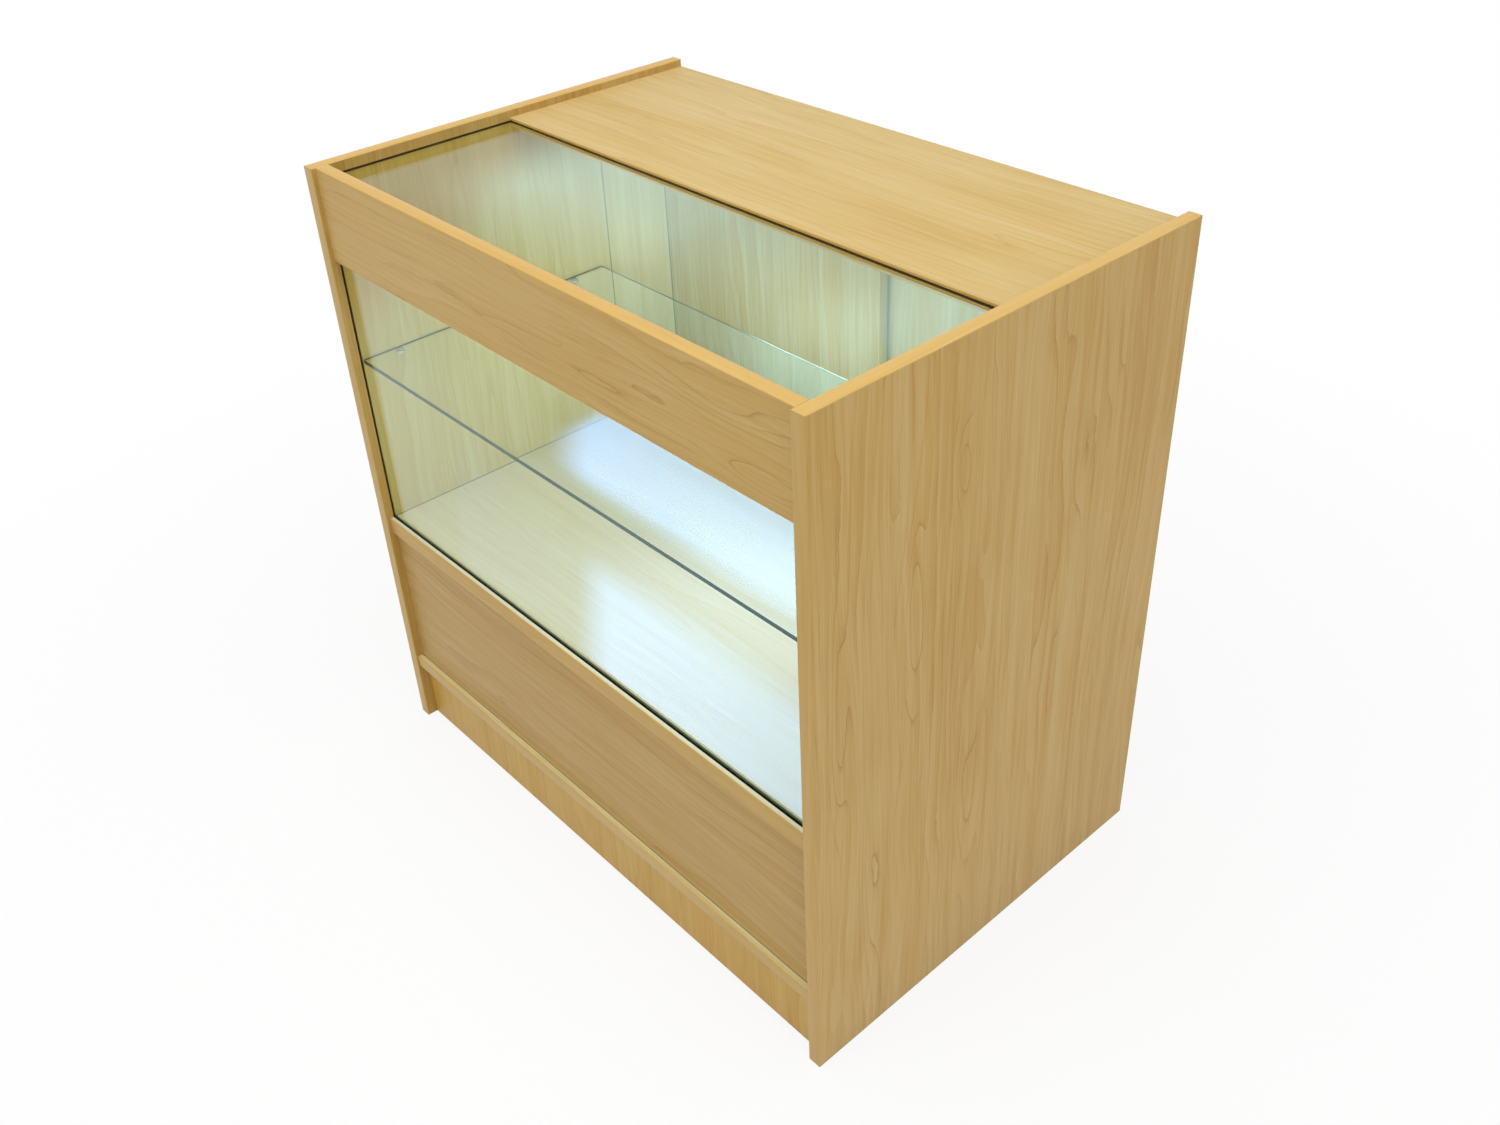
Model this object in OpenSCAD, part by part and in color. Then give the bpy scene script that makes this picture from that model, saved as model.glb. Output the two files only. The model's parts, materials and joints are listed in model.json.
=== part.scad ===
// Glazed shop display counter with a glass front, a glass top and one glass shelf.
// Two full-depth side panels carry every other board on cam fittings and dowels.
// The display space is closed on the staff side by two sliding doors, and the bay
// under the display deck is open on the staff side.
// Origin: centre of the underside. +Z is up, the glass front faces -Y, +X is to the
// right of someone who looks at the front.

/* [Overall size] */
// Width over the two side panels
width = 900; // [760:10:1200]
// Depth of the side panels
depth = 600; // [560:10:700]
// Height of the side panels
height = 900; // [860:10:1000]

/* [Boards] */
// Thickness of the side panels
side_t = 18; // [16:1:25]
// Thickness of the fascia, worktop, lower panel, base board and plinths
board_t = 18; // [16:1:22]
// Thickness of the display deck
deck_t = 25; // [18:1:30]
// Thickness of the edging glued to the boards that show an edge
edging_t = 1; // [0.5:0.5:2]
// Line between two strips of edging that meet at a corner
edging_line = 0.1; // [0.05:0.05:0.2]
// Height of the two plinths
plinth_h = 100; // [70:5:140]
// Height of the lower front panel, between the base board and the deck
lower_panel_h = 230; // [180:5:260]
// Height of the fascia along the top of the front
fascia_h = 125; // [100:5:160]
// Depth of the rear worktop
worktop_depth = 304; // [280:2:330]
// How far the worktop lies below the top edges of the side panels
worktop_drop = 10; // [6:1:16]

/* [Setbacks] */
// Fascia and deck edge behind the front edges of the side panels
face_setback = 6; // [4:1:10]
// Base board edge behind the front edges of the side panels
base_setback = 3; // [1:1:6]
// Lower front panel behind the edge of the base board
panel_recess = 9; // [5:1:14]
// Front plinth behind the edge of the base board
toe_recess = 13; // [8:1:40]
// Rear plinth in from the rear edges of the side panels
rear_plinth_setback = 16; // [8:1:40]

/* [Glass] */
// Thickness of the front glass and the top glass
glass_t = 6; // [5:0.5:7]
// Free width left in a groove beside the glass
glass_gap = 1.4; // [1:0.1:2]
// Depth of the glass grooves
groove_depth = 8; // [6:1:10]
// Gap between an edge of the glass and the bottom of its groove
edge_gap = 1; // [0.5:0.5:2]
// Timber in front of the front glass
front_lip = 6; // [4:0.5:7]
// Timber above the top glass in the front edge of the worktop
top_lip = 4; // [3:0.5:5]

/* [Glass shelf] */
// Thickness of the shelf
shelf_t = 6; // [5:1:8]
// Depth of the shelf from front to back
shelf_depth = 400; // [300:10:440]
// Clear height between the deck and the underside of the shelf
shelf_clear = 249; // [200:1:300]
// Gap at each end of the shelf
shelf_end_gap = 1; // [0.5:0.5:3]
// Gap between the shelf and the front glass
shelf_front_gap = 1; // [0.5:0.5:4]
// Distance of each shelf support from the front or rear edge of the shelf
support_inset = 54; // [30:2:90]
// Width of a shelf support
support_w = 10; // [8:1:14]
// Reach of a shelf support under the shelf
support_reach = 12; // [10:1:18]
// Height of a shelf support
support_h = 10; // [8:1:14]
// Thickness of the tongue and the foot of a shelf support
support_t = 2.5; // [2:0.5:3]
// Diameter of the peg of a shelf support
peg_d = 5; // [4:0.5:6]
// Length of the peg inside the side panel
peg_l = 9; // [7:1:12]
// Thickness of the clear pad between a support and the shelf
pad_t = 1; // [0.5:0.5:2]
// Diameter of the clear pad
pad_d = 8; // [6:1:9]

/* [Sliding doors] */
// Thickness of a door
door_t = 16; // [12:1:19]
// Gap between the two doors
door_gap = 5; // [4:0.5:8]
// How far the closed doors overlap in the middle
door_overlap = 34; // [20:2:60]
// Gap between a closed door and the side panel
door_end_gap = 0.5; // [0.5:0.5:2]
// Rear door behind the rear edges of the side panels
door_recess = 11; // [6:1:20]
// Free play on each face of a door in its channel
door_play = 0.5; // [0.3:0.1:1]
// How far a door can be lifted to take it out
lift_gap = 9; // [8.5:0.5:11]
// Thickness of the outer walls of the tracks
track_wall = 2; // [1.5:0.5:3]
// Thickness of the base of the tracks
track_base = 2.5; // [2:0.5:3]
// Height of the upper track
upper_track_h = 20; // [18:1:26]
// Height of the lower track
lower_track_h = 10; // [8:0.5:10.5]
// Gap at each end of the tracks
track_end_gap = 0.5; // [0.5:0.5:2]
// Length of a door glide
glide_l = 40; // [30:2:60]
// Thickness of the foot that a glide slides on
glide_foot_t = 1.5; // [1:0.5:3]
// Width of the tongue of a glide, inside the door
glide_tongue_w = 7; // [5:0.5:9]
// Height of the tongue of a glide
glide_tongue_h = 12; // [8:1:18]
// Distance of the glides from the ends of a door
glide_inset = 60; // [40:5:120]
// Diameter of the cup of a finger pull
pull_d = 30; // [25:1:40]
// Depth of the bore for a finger pull
pull_depth = 11; // [8:0.5:11.5]
// Wall of the finger pull
pull_wall = 1.4; // [1:0.2:2]
// Width of the rim of a finger pull round its bore
pull_rim = 3; // [2:0.5:5]
// Thickness of the rim, proud of the door
pull_rim_t = 1.2; // [0.8:0.2:2]
// Distance of a finger pull from the outer end of its door
pull_inset = 60; // [45:5:120]

/* [Fittings] */
// Diameter of a cam housing
cam_d = 15; // [12:1:16]
// Height of a cam housing
cam_h = 12.5; // [11:0.5:13.5]
// Distance of a cam from the end of its board
cam_reach = 34; // [24:1:40]
// Depth of the bolt axis below the face that the cam is fitted from
cam_axis = 9; // [8:0.5:9]
// Diameter of the bolt shank
bolt_d = 6; // [5:0.5:7]
// Diameter of the threaded end of the bolt in the side panel
thread_d = 5; // [4:0.5:6]
// Length of the threaded end
thread_l = 11; // [8:0.5:12]
// Diameter of a dowel
dowel_d = 8; // [6:1:10]
// Length of a dowel inside the side panel
dowel_in_side = 12; // [8:1:12.5]
// Length of a dowel inside its board
dowel_in_board = 18; // [14:1:26]
// Distance of the outer joints from the edges of a board
joint_inset = 60; // [50:5:90]
// Diameter of the screws that hold the tracks
screw_d = 3; // [2.5:0.5:4]
// Length of the track screws
screw_l = 14; // [10:1:16]
// Distance of the outer track screws from the ends of the tracks
screw_inset = 130; // [80:10:200]
// Clearance round a pin, dowel, cam or screw in its hole
pin_fit = 0.1; // [0.05:0.05:0.2]

/* [Hidden] */
$fn = 48;

// Colours of the photographed finish
MAPLE = [0.78, 0.64, 0.40];
MAPLE_PALE = [0.88, 0.75, 0.51];
GLASS = [0.78, 0.88, 0.80, 0.35];
METAL = [0.75, 0.77, 0.80];
ZINC = [0.62, 0.63, 0.64];
NYLON = [0.90, 0.89, 0.85];
BEECH = [0.80, 0.66, 0.48];
TRACK = [0.82, 0.78, 0.68];
CLEAR = [0.80, 0.90, 0.95, 0.5];

// Cuts run past the faces that they open by this much
over = 1;

// Side panels
inner_w = width - 2 * side_t;
x_in = inner_w / 2;
y_front = -depth / 2;
y_rear = depth / 2;

// Fascia and deck share one front face, so their glass grooves line up
face_y = y_front + face_setback;
fascia_back = face_y + board_t;
fascia_z = height - fascia_h;

// Base, lower panel and deck stand on each other
base_y = y_front + base_setback;
panel_y = base_y + panel_recess;
plinth_y = base_y + toe_recess;
rear_plinth_y = y_rear - rear_plinth_setback - board_t;
base_z = plinth_h;
panel_z = base_z + board_t;
deck_z = panel_z + lower_panel_h;
deck_top = deck_z + deck_t;

// Rear worktop
worktop_top = height - worktop_drop;
worktop_z = worktop_top - board_t;
worktop_y = y_rear - worktop_depth;

// Grooves for the front glass and the top glass
groove_w = glass_t + glass_gap;
front_groove_y = face_y + front_lip;
top_groove_z = worktop_top - top_lip - groove_w;
seat = groove_depth - edge_gap;
front_groove_z = deck_top - groove_depth;
front_groove_top = fascia_z + groove_depth;
top_groove_y = fascia_back - groove_depth;
top_groove_rear = worktop_y + groove_depth;

// Glass shelf and its supports
shelf_z = deck_top + shelf_clear;
shelf_y = front_groove_y + groove_w + shelf_front_gap;
support_z = shelf_z - pad_t;
support_ys = [shelf_y + support_inset, shelf_y + shelf_depth - support_inset];
peg_drop = support_h / 2;

// Doors: the left one runs in the front channel, the right one in the rear channel
right_door_y = y_rear - door_recess - door_t;
left_door_y = right_door_y - door_gap - door_t;
door_w = x_in + door_overlap / 2 - door_end_gap;
door_z = deck_top + track_base + glide_foot_t;
door_h = worktop_z - track_base - lift_gap - door_z;
left_door_x = -x_in + door_end_gap;
right_door_x = x_in - door_end_gap - door_w;
pull_z = door_z + door_h / 2;
glide_foot_w = door_t - 2;

// Tracks: two channels with a wall between them
channel_w = door_t + 2 * door_play;
track_y = left_door_y - door_play - track_wall;
track_w = 2 * door_t + door_gap + 2 * door_play + 2 * track_wall;
channel_ys = [left_door_y - door_play, right_door_y - door_play];
screw_xs = [-x_in + screw_inset, 0, x_in - screw_inset];
screw_head_h = 1.8;

// Joints with the side panels, each [y, z, turn]: the turn points the open side of the
// cam down for a level board, and to the hidden face of an upright one
DOWN = 180;
BACKWARD = -90;
FORWARD = 90;
worktop_joint_z = worktop_z + cam_axis;
worktop_cams = [
    [worktop_y + joint_inset, worktop_joint_z, DOWN],
    [track_y - joint_inset, worktop_joint_z, DOWN]];
worktop_dowels = [
    [(worktop_y + track_y) / 2, worktop_joint_z],
    [y_rear - joint_inset / 2, worktop_joint_z]];
deck_joint_z = deck_z + cam_axis;
deck_cams = [
    [face_y + joint_inset, deck_joint_z, DOWN],
    [0, deck_joint_z, DOWN],
    [y_rear - joint_inset, deck_joint_z, DOWN]];
deck_dowels = [
    [(face_y + joint_inset) / 2, deck_joint_z],
    [(y_rear - joint_inset) / 2, deck_joint_z]];
base_joint_z = base_z + cam_axis;
base_cams = [
    [base_y + joint_inset, base_joint_z, DOWN],
    [y_rear - joint_inset, base_joint_z, DOWN]];
base_dowels = [
    [(base_y + joint_inset) / 2, base_joint_z],
    [(y_rear - joint_inset) / 2, base_joint_z]];
fascia_joint_y = fascia_back - cam_axis;
fascia_mid_z = (front_groove_top + top_groove_z) / 2;
fascia_cams = [[fascia_joint_y, fascia_mid_z, BACKWARD]];
fascia_dowel_step = 28;
fascia_dowels = [for (s = [-1, 1]) [fascia_joint_y, fascia_mid_z + s * fascia_dowel_step]];
panel_joint_y = panel_y + board_t - cam_axis;
panel_cams = [
    [panel_joint_y, panel_z + joint_inset, BACKWARD],
    [panel_joint_y, deck_z - joint_inset, BACKWARD]];
panel_dowels = [[panel_joint_y, (panel_z + deck_z) / 2]];
plinth_cam_z = 0.65 * plinth_h;
plinth_dowel_z = 0.3 * plinth_h;
front_plinth_joint_y = plinth_y + board_t - cam_axis;
front_plinth_cams = [[front_plinth_joint_y, plinth_cam_z, BACKWARD]];
front_plinth_dowels = [[front_plinth_joint_y, plinth_dowel_z]];
rear_plinth_joint_y = rear_plinth_y + cam_axis;
rear_plinth_cams = [[rear_plinth_joint_y, plinth_cam_z, FORWARD]];
rear_plinth_dowels = [[rear_plinth_joint_y, plinth_dowel_z]];
all_cams = concat(worktop_cams, deck_cams, base_cams, fascia_cams, panel_cams,
    front_plinth_cams, rear_plinth_cams);
all_dowels = concat(worktop_dowels, deck_dowels, base_dowels, fascia_dowels, panel_dowels,
    front_plinth_dowels, rear_plinth_dowels);
cam_pocket_h = cam_h + 0.3;
head_l = 5;
neck_l = 3;
neck_d = 0.5 * bolt_d;

// Shared shapes
module box(low, high) {
    translate(low) cube(high - low);
}

module at_both_ends() {
    children();
    mirror([1, 0, 0]) children();
}

// Rod along +X from x0 to x1 at [y, z]
module rod(p, x0, x1, d) {
    translate([x0, p[0], p[1]]) rotate([0, 90, 0]) cylinder(h = x1 - x0, d = d);
}

// Bores and pockets that a board needs at each end
module joint_cuts(cams, dowels) {
    at_both_ends() {
        for (c = cams) {
            rod(c, x_in - cam_reach, x_in + over, bolt_d + 1);
            translate([x_in - cam_reach, c[0], c[1]]) rotate([c[2], 0, 0])
                translate([0, 0, cam_axis - cam_pocket_h])
                    cylinder(h = cam_pocket_h + over, d = cam_d + 2 * pin_fit);
        }
        for (d = dowels) rod(d, x_in - dowel_in_board - 0.5, x_in + over, dowel_d + 2 * pin_fit);
    }
}

// Side panels
module side_panel(side) {
    mirror([side > 0 ? 0 : 1, 0, 0]) difference() {
        box([x_in, y_front + edging_t, 0], [x_in + side_t, y_rear - edging_t, height - edging_t]);
        box([x_in - over, front_groove_y, front_groove_z],
            [x_in + groove_depth, front_groove_y + groove_w, front_groove_top]);
        box([x_in - over, top_groove_y, top_groove_z],
            [x_in + groove_depth, top_groove_rear, top_groove_z + groove_w]);
        for (c = all_cams) rod(c, x_in - over, x_in + thread_l + 0.5, thread_d + 2 * pin_fit);
        for (d = all_dowels) rod(d, x_in - over, x_in + dowel_in_side + 0.5, dowel_d + 2 * pin_fit);
        for (y = support_ys)
            rod([y, support_z - peg_drop], x_in - over, x_in + peg_l + 0.5, peg_d + 2 * pin_fit);
    }
}

module side_panel_edging(side) {
    mirror([side > 0 ? 0 : 1, 0, 0]) {
        box([x_in, y_front, 0], [x_in + side_t, y_front + edging_t, height]);
        box([x_in, y_rear - edging_t, 0], [x_in + side_t, y_rear, height]);
        box([x_in, y_front + edging_t + edging_line, height - edging_t],
            [x_in + side_t, y_rear - edging_t - edging_line, height]);
    }
}

module side_panel_left() {
    color(MAPLE) side_panel(-1);
}

module side_panel_right() {
    color(MAPLE) side_panel(1);
}

module side_panel_left_edging() {
    color(MAPLE_PALE) side_panel_edging(-1);
}

module side_panel_right_edging() {
    color(MAPLE_PALE) side_panel_edging(1);
}

// Fascia along the top of the front, grooved below for the front glass and behind for
// the top glass
module front_fascia() {
    color(MAPLE) difference() {
        box([-x_in, face_y, fascia_z], [x_in, fascia_back, height - edging_t]);
        box([-x_in - over, front_groove_y, fascia_z - over],
            [x_in + over, front_groove_y + groove_w, front_groove_top]);
        box([-x_in - over, top_groove_y, top_groove_z],
            [x_in + over, fascia_back + over, top_groove_z + groove_w]);
        joint_cuts(fascia_cams, fascia_dowels);
    }
}

module fascia_edging() {
    color(MAPLE_PALE) box([-x_in, face_y, height - edging_t], [x_in, fascia_back, height]);
}

// Rear worktop, grooved along its front edge for the top glass
module worktop_groove() {
    box([-x_in - over, worktop_y - over, top_groove_z],
        [x_in + over, top_groove_rear, top_groove_z + groove_w]);
}

module rear_worktop() {
    color(MAPLE_PALE) difference() {
        box([-x_in, worktop_y + edging_t, worktop_z], [x_in, y_rear - edging_t, worktop_top]);
        worktop_groove();
        joint_cuts(worktop_cams, worktop_dowels);
        for (y = channel_ys, x = screw_xs)
            translate([x, y + channel_w / 2, worktop_z - over])
                cylinder(h = screw_l - track_base + 0.5 + over, d = screw_d + 2 * pin_fit);
    }
}

module worktop_edging() {
    color(MAPLE) {
        difference() {
            box([-x_in, worktop_y, worktop_z], [x_in, worktop_y + edging_t, worktop_top]);
            worktop_groove();
        }
        box([-x_in, y_rear - edging_t, worktop_z], [x_in, y_rear, worktop_top]);
    }
}

// Floor of the display space, grooved for the front glass
module display_deck() {
    color(MAPLE_PALE) difference() {
        box([-x_in, face_y + edging_t, deck_z], [x_in, y_rear - edging_t, deck_top]);
        box([-x_in - over, front_groove_y, front_groove_z],
            [x_in + over, front_groove_y + groove_w, deck_top + over]);
        joint_cuts(deck_cams, deck_dowels);
        for (y = channel_ys, x = screw_xs)
            translate([x, y + channel_w / 2, deck_top - screw_l + track_base - 0.5])
                cylinder(h = screw_l + over, d = screw_d + 2 * pin_fit);
    }
}

module deck_edging() {
    color(MAPLE) {
        box([-x_in, face_y, deck_z], [x_in, face_y + edging_t, deck_top]);
        box([-x_in, y_rear - edging_t, deck_z], [x_in, y_rear, deck_top]);
    }
}

module lower_front_panel() {
    color(MAPLE) difference() {
        box([-x_in, panel_y, panel_z], [x_in, panel_y + board_t, deck_z]);
        joint_cuts(panel_cams, panel_dowels);
    }
}

module base_board() {
    color(MAPLE) difference() {
        box([-x_in, base_y + edging_t, base_z], [x_in, y_rear - edging_t, panel_z]);
        joint_cuts(base_cams, base_dowels);
    }
}

module base_board_edging() {
    color(MAPLE_PALE) {
        box([-x_in, base_y, base_z], [x_in, base_y + edging_t, panel_z]);
        box([-x_in, y_rear - edging_t, base_z], [x_in, y_rear, panel_z]);
    }
}

module front_plinth() {
    color(MAPLE) difference() {
        box([-x_in, plinth_y, 0], [x_in, plinth_y + board_t, base_z]);
        joint_cuts(front_plinth_cams, front_plinth_dowels);
    }
}

module rear_plinth() {
    color(MAPLE) difference() {
        box([-x_in, rear_plinth_y, 0], [x_in, rear_plinth_y + board_t, base_z]);
        joint_cuts(rear_plinth_cams, rear_plinth_dowels);
    }
}

// Top glass lies on the lower faces of its grooves
module top_glass() {
    color(GLASS) box([-x_in - seat, fascia_back - seat, top_groove_z],
        [x_in + seat, worktop_y + seat, top_groove_z + glass_t]);
}

// Front glass stands in the deck against the rear faces of its grooves
module front_glass() {
    color(GLASS) box([-x_in - seat, front_groove_y + glass_gap, front_groove_z],
        [x_in + seat, front_groove_y + groove_w, fascia_z + seat]);
}

module glass_shelf() {
    color(GLASS) box([-x_in + shelf_end_gap, shelf_y, shelf_z],
        [x_in - shelf_end_gap, shelf_y + shelf_depth, shelf_z + shelf_t]);
}

// Shelf support: a round-ended tongue under the shelf, a foot against the side panel,
// a web between them and a peg in the panel
module shelf_supports() {
    web_t = support_t / 2;
    nose_r = support_w / 2;
    color(METAL) at_both_ends() for (y = support_ys) {
        translate([x_in, y, support_z - support_t]) linear_extrude(support_t) {
            translate([nose_r - support_reach, 0]) circle(nose_r);
            translate([nose_r - support_reach, -nose_r])
                square([support_reach - nose_r, support_w]);
        }
        box([x_in - support_t, y - nose_r, support_z - support_h], [x_in, y + nose_r, support_z]);
        translate([x_in, y + web_t / 2, support_z]) rotate([90, 0, 0]) linear_extrude(web_t)
            polygon([[0, 0], [-support_reach + 1, 0], [-support_reach + 1, -support_t],
                [-support_t, -support_h], [0, -support_h]]);
        rod([y, support_z - peg_drop], x_in - over, x_in + peg_l, peg_d);
    }
}

module shelf_support_pads() {
    color(CLEAR) at_both_ends() for (y = support_ys)
        translate([x_in - support_reach / 2, y, support_z]) cylinder(h = pad_t, d = pad_d);
}

// Track with two channels: the upper one opens down, the lower one opens up
module track(z_base, z_open) {
    up = z_open > z_base;
    floor_z = up ? z_base + track_base : z_base - track_base;
    difference() {
        box([-x_in + track_end_gap, track_y, min(z_base, z_open)],
            [x_in - track_end_gap, track_y + track_w, max(z_base, z_open)]);
        for (y = channel_ys)
            box([-x_in - over, y, up ? floor_z : z_open - over],
                [x_in + over, y + channel_w, up ? z_open + over : floor_z]);
        for (y = channel_ys, x = screw_xs)
            translate([x, y + channel_w / 2, floor_z]) rotate([up ? 180 : 0, 0, 0]) screw_hole();
    }
}

// Hole for a countersunk screw that points along +Z from the channel floor
module screw_hole() {
    translate([0, 0, -over]) cylinder(h = track_base + 2 * over, d = screw_d + 2 * pin_fit);
    cylinder(h = screw_head_h, d1 = 2 * screw_d + 2 * pin_fit, d2 = screw_d + 2 * pin_fit);
}

module screw() {
    cross_w = screw_d / 4;
    difference() {
        union() {
            cylinder(h = screw_head_h, d1 = 2 * screw_d, d2 = screw_d);
            cylinder(h = screw_l - screw_d, d = screw_d);
            translate([0, 0, screw_l - screw_d]) cylinder(h = screw_d, d1 = screw_d, d2 = 0.2);
        }
        for (a = [0, 90]) rotate([0, 0, a])
            translate([-screw_d / 2, -cross_w / 2, -over]) cube([screw_d, cross_w, over + 0.8]);
    }
}

module upper_door_track() {
    color(TRACK) track(worktop_z, worktop_z - upper_track_h);
}

module lower_door_track() {
    color(TRACK) track(deck_top, deck_top + lower_track_h);
}

module upper_track_screws() {
    color(ZINC) for (y = channel_ys, x = screw_xs)
        translate([x, y + channel_w / 2, worktop_z - track_base]) screw();
}

module lower_track_screws() {
    color(ZINC) for (y = channel_ys, x = screw_xs)
        translate([x, y + channel_w / 2, deck_top + track_base]) rotate([180, 0, 0]) screw();
}

// Doors, given by the corner at their left end, and the place of their finger pull
module door_board(x, y, pull_x) {
    difference() {
        box([x + edging_t, y, door_z + edging_t],
            [x + door_w - edging_t, y + door_t, door_z + door_h - edging_t]);
        translate([pull_x, y + door_t - pull_depth, pull_z]) rotate([-90, 0, 0])
            cylinder(h = pull_depth + over, d = pull_d + 2 * pin_fit);
        glide_slots(x, y);
    }
}

// Edging round a door: an upright strip at each end, and a strip above and below
module door_edging(x, y) {
    for (sx = [x, x + door_w - edging_t])
        box([sx, y, door_z], [sx + edging_t, y + door_t, door_z + door_h]);
    difference() {
        for (sz = [door_z, door_z + door_h - edging_t])
            box([x + edging_t + edging_line, y, sz],
                [x + door_w - edging_t - edging_line, y + door_t, sz + edging_t]);
        glide_slots(x, y);
    }
}

module glide_slots(x, y) {
    play = pin_fit;
    for (gx = [x + glide_inset, x + door_w - glide_inset])
        box([gx - glide_l / 2 - play, y + (door_t - glide_tongue_w) / 2 - play, door_z - over],
            [gx + glide_l / 2 + play, y + (door_t + glide_tongue_w) / 2 + play,
                door_z + glide_tongue_h + play]);
}

// Two nylon glides under a door, each with a tongue in the door and a foot on the track
module door_glides(x, y) {
    for (gx = [x + glide_inset, x + door_w - glide_inset]) {
        box([gx - glide_l / 2, y + (door_t - glide_tongue_w) / 2, door_z - glide_foot_t],
            [gx + glide_l / 2, y + (door_t + glide_tongue_w) / 2, door_z + glide_tongue_h]);
        box([gx - glide_l / 2, y + (door_t - glide_foot_w) / 2, door_z - glide_foot_t],
            [gx + glide_l / 2, y + (door_t + glide_foot_w) / 2, door_z]);
    }
}

// Round finger pull: a cup in the staff side of the door with a rim round it
module door_pull(pull_x, y) {
    translate([pull_x, y + door_t, pull_z]) rotate([-90, 0, 0]) rotate_extrude()
        polygon([[0, -pull_depth], [pull_d / 2, -pull_depth], [pull_d / 2, 0],
            [pull_d / 2 + pull_rim, 0], [pull_d / 2 + pull_rim, pull_rim_t / 2],
            [pull_d / 2 + pull_rim - pull_rim_t, pull_rim_t], [pull_d / 2 - pull_wall, pull_rim_t],
            [pull_d / 2 - pull_wall, pull_wall - pull_depth], [0, pull_wall - pull_depth]]);
}

left_pull_x = left_door_x + pull_inset;
right_pull_x = right_door_x + door_w - pull_inset;

module sliding_door_left() {
    color(MAPLE_PALE) door_board(left_door_x, left_door_y, left_pull_x);
}

module sliding_door_right() {
    color(MAPLE_PALE) door_board(right_door_x, right_door_y, right_pull_x);
}

module left_door_edging() {
    color(MAPLE) door_edging(left_door_x, left_door_y);
}

module right_door_edging() {
    color(MAPLE) door_edging(right_door_x, right_door_y);
}

module left_door_pull() {
    color(METAL) door_pull(left_pull_x, left_door_y);
}

module right_door_pull() {
    color(METAL) door_pull(right_pull_x, right_door_y);
}

module left_door_glides() {
    color(NYLON) door_glides(left_door_x, left_door_y);
}

module right_door_glides() {
    color(NYLON) door_glides(right_door_x, right_door_y);
}

// Bolts screwed into the side panels: thread, shank, neck and the head inside the cam
module cam_bolts() {
    head_end = x_in - cam_reach - head_l / 2;
    color(METAL) at_both_ends() for (c = all_cams) {
        rod(c, x_in, x_in + thread_l, thread_d);
        rod(c, head_end + head_l + neck_l, x_in, bolt_d);
        rod(c, head_end + head_l, head_end + head_l + neck_l, neck_d);
        rod(c, head_end, head_end + head_l, bolt_d);
    }
}

// Cams: drums in the boards, open towards the bolt, with a cross slot in the exposed face
module cam_housings() {
    slot_w = 1.6;
    slot_l = 8;
    slot_depth = 2;
    color(ZINC) at_both_ends() for (c = all_cams)
        translate([x_in - cam_reach, c[0], c[1]]) rotate([c[2], 0, 0]) difference() {
            translate([0, 0, cam_axis - cam_h]) cylinder(h = cam_h, d = cam_d);
            translate([-head_l, 0, 0]) rotate([0, 90, 0])
                cylinder(h = cam_d, d = bolt_d + 4 * pin_fit);
            for (a = [45, 135]) rotate([0, 0, a])
                translate([-slot_l / 2, -slot_w / 2, cam_axis - slot_depth])
                    cube([slot_l, slot_w, slot_depth + over]);
        }
}

// Fluted hardwood dowels, drawn plain, with a chamfer at each end
module timber_dowels() {
    chamfer = 1;
    color(BEECH) at_both_ends() for (d = all_dowels)
        translate([x_in - dowel_in_board, d[0], d[1]]) rotate([0, 90, 0]) {
            body_l = dowel_in_board + dowel_in_side - 2 * chamfer;
            cylinder(h = chamfer, d1 = dowel_d - 2 * chamfer, d2 = dowel_d);
            translate([0, 0, chamfer]) cylinder(h = body_l, d = dowel_d);
            translate([0, 0, chamfer + body_l])
                cylinder(h = chamfer, d1 = dowel_d, d2 = dowel_d - 2 * chamfer);
        }
}

side_panel_left();
side_panel_right();
side_panel_left_edging();
side_panel_right_edging();
front_fascia();
fascia_edging();
rear_worktop();
worktop_edging();
display_deck();
deck_edging();
lower_front_panel();
base_board();
base_board_edging();
front_plinth();
rear_plinth();
top_glass();
front_glass();
glass_shelf();
shelf_supports();
shelf_support_pads();
upper_door_track();
lower_door_track();
upper_track_screws();
lower_track_screws();
sliding_door_left();
sliding_door_right();
left_door_edging();
right_door_edging();
left_door_pull();
right_door_pull();
left_door_glides();
right_door_glides();
cam_bolts();
cam_housings();
timber_dowels();
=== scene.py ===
"""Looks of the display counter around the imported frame. Metres, +Z up, the glass front faces -Y."""
import json
import math

import bmesh
import bpy
from mathutils import Matrix, Vector

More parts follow.
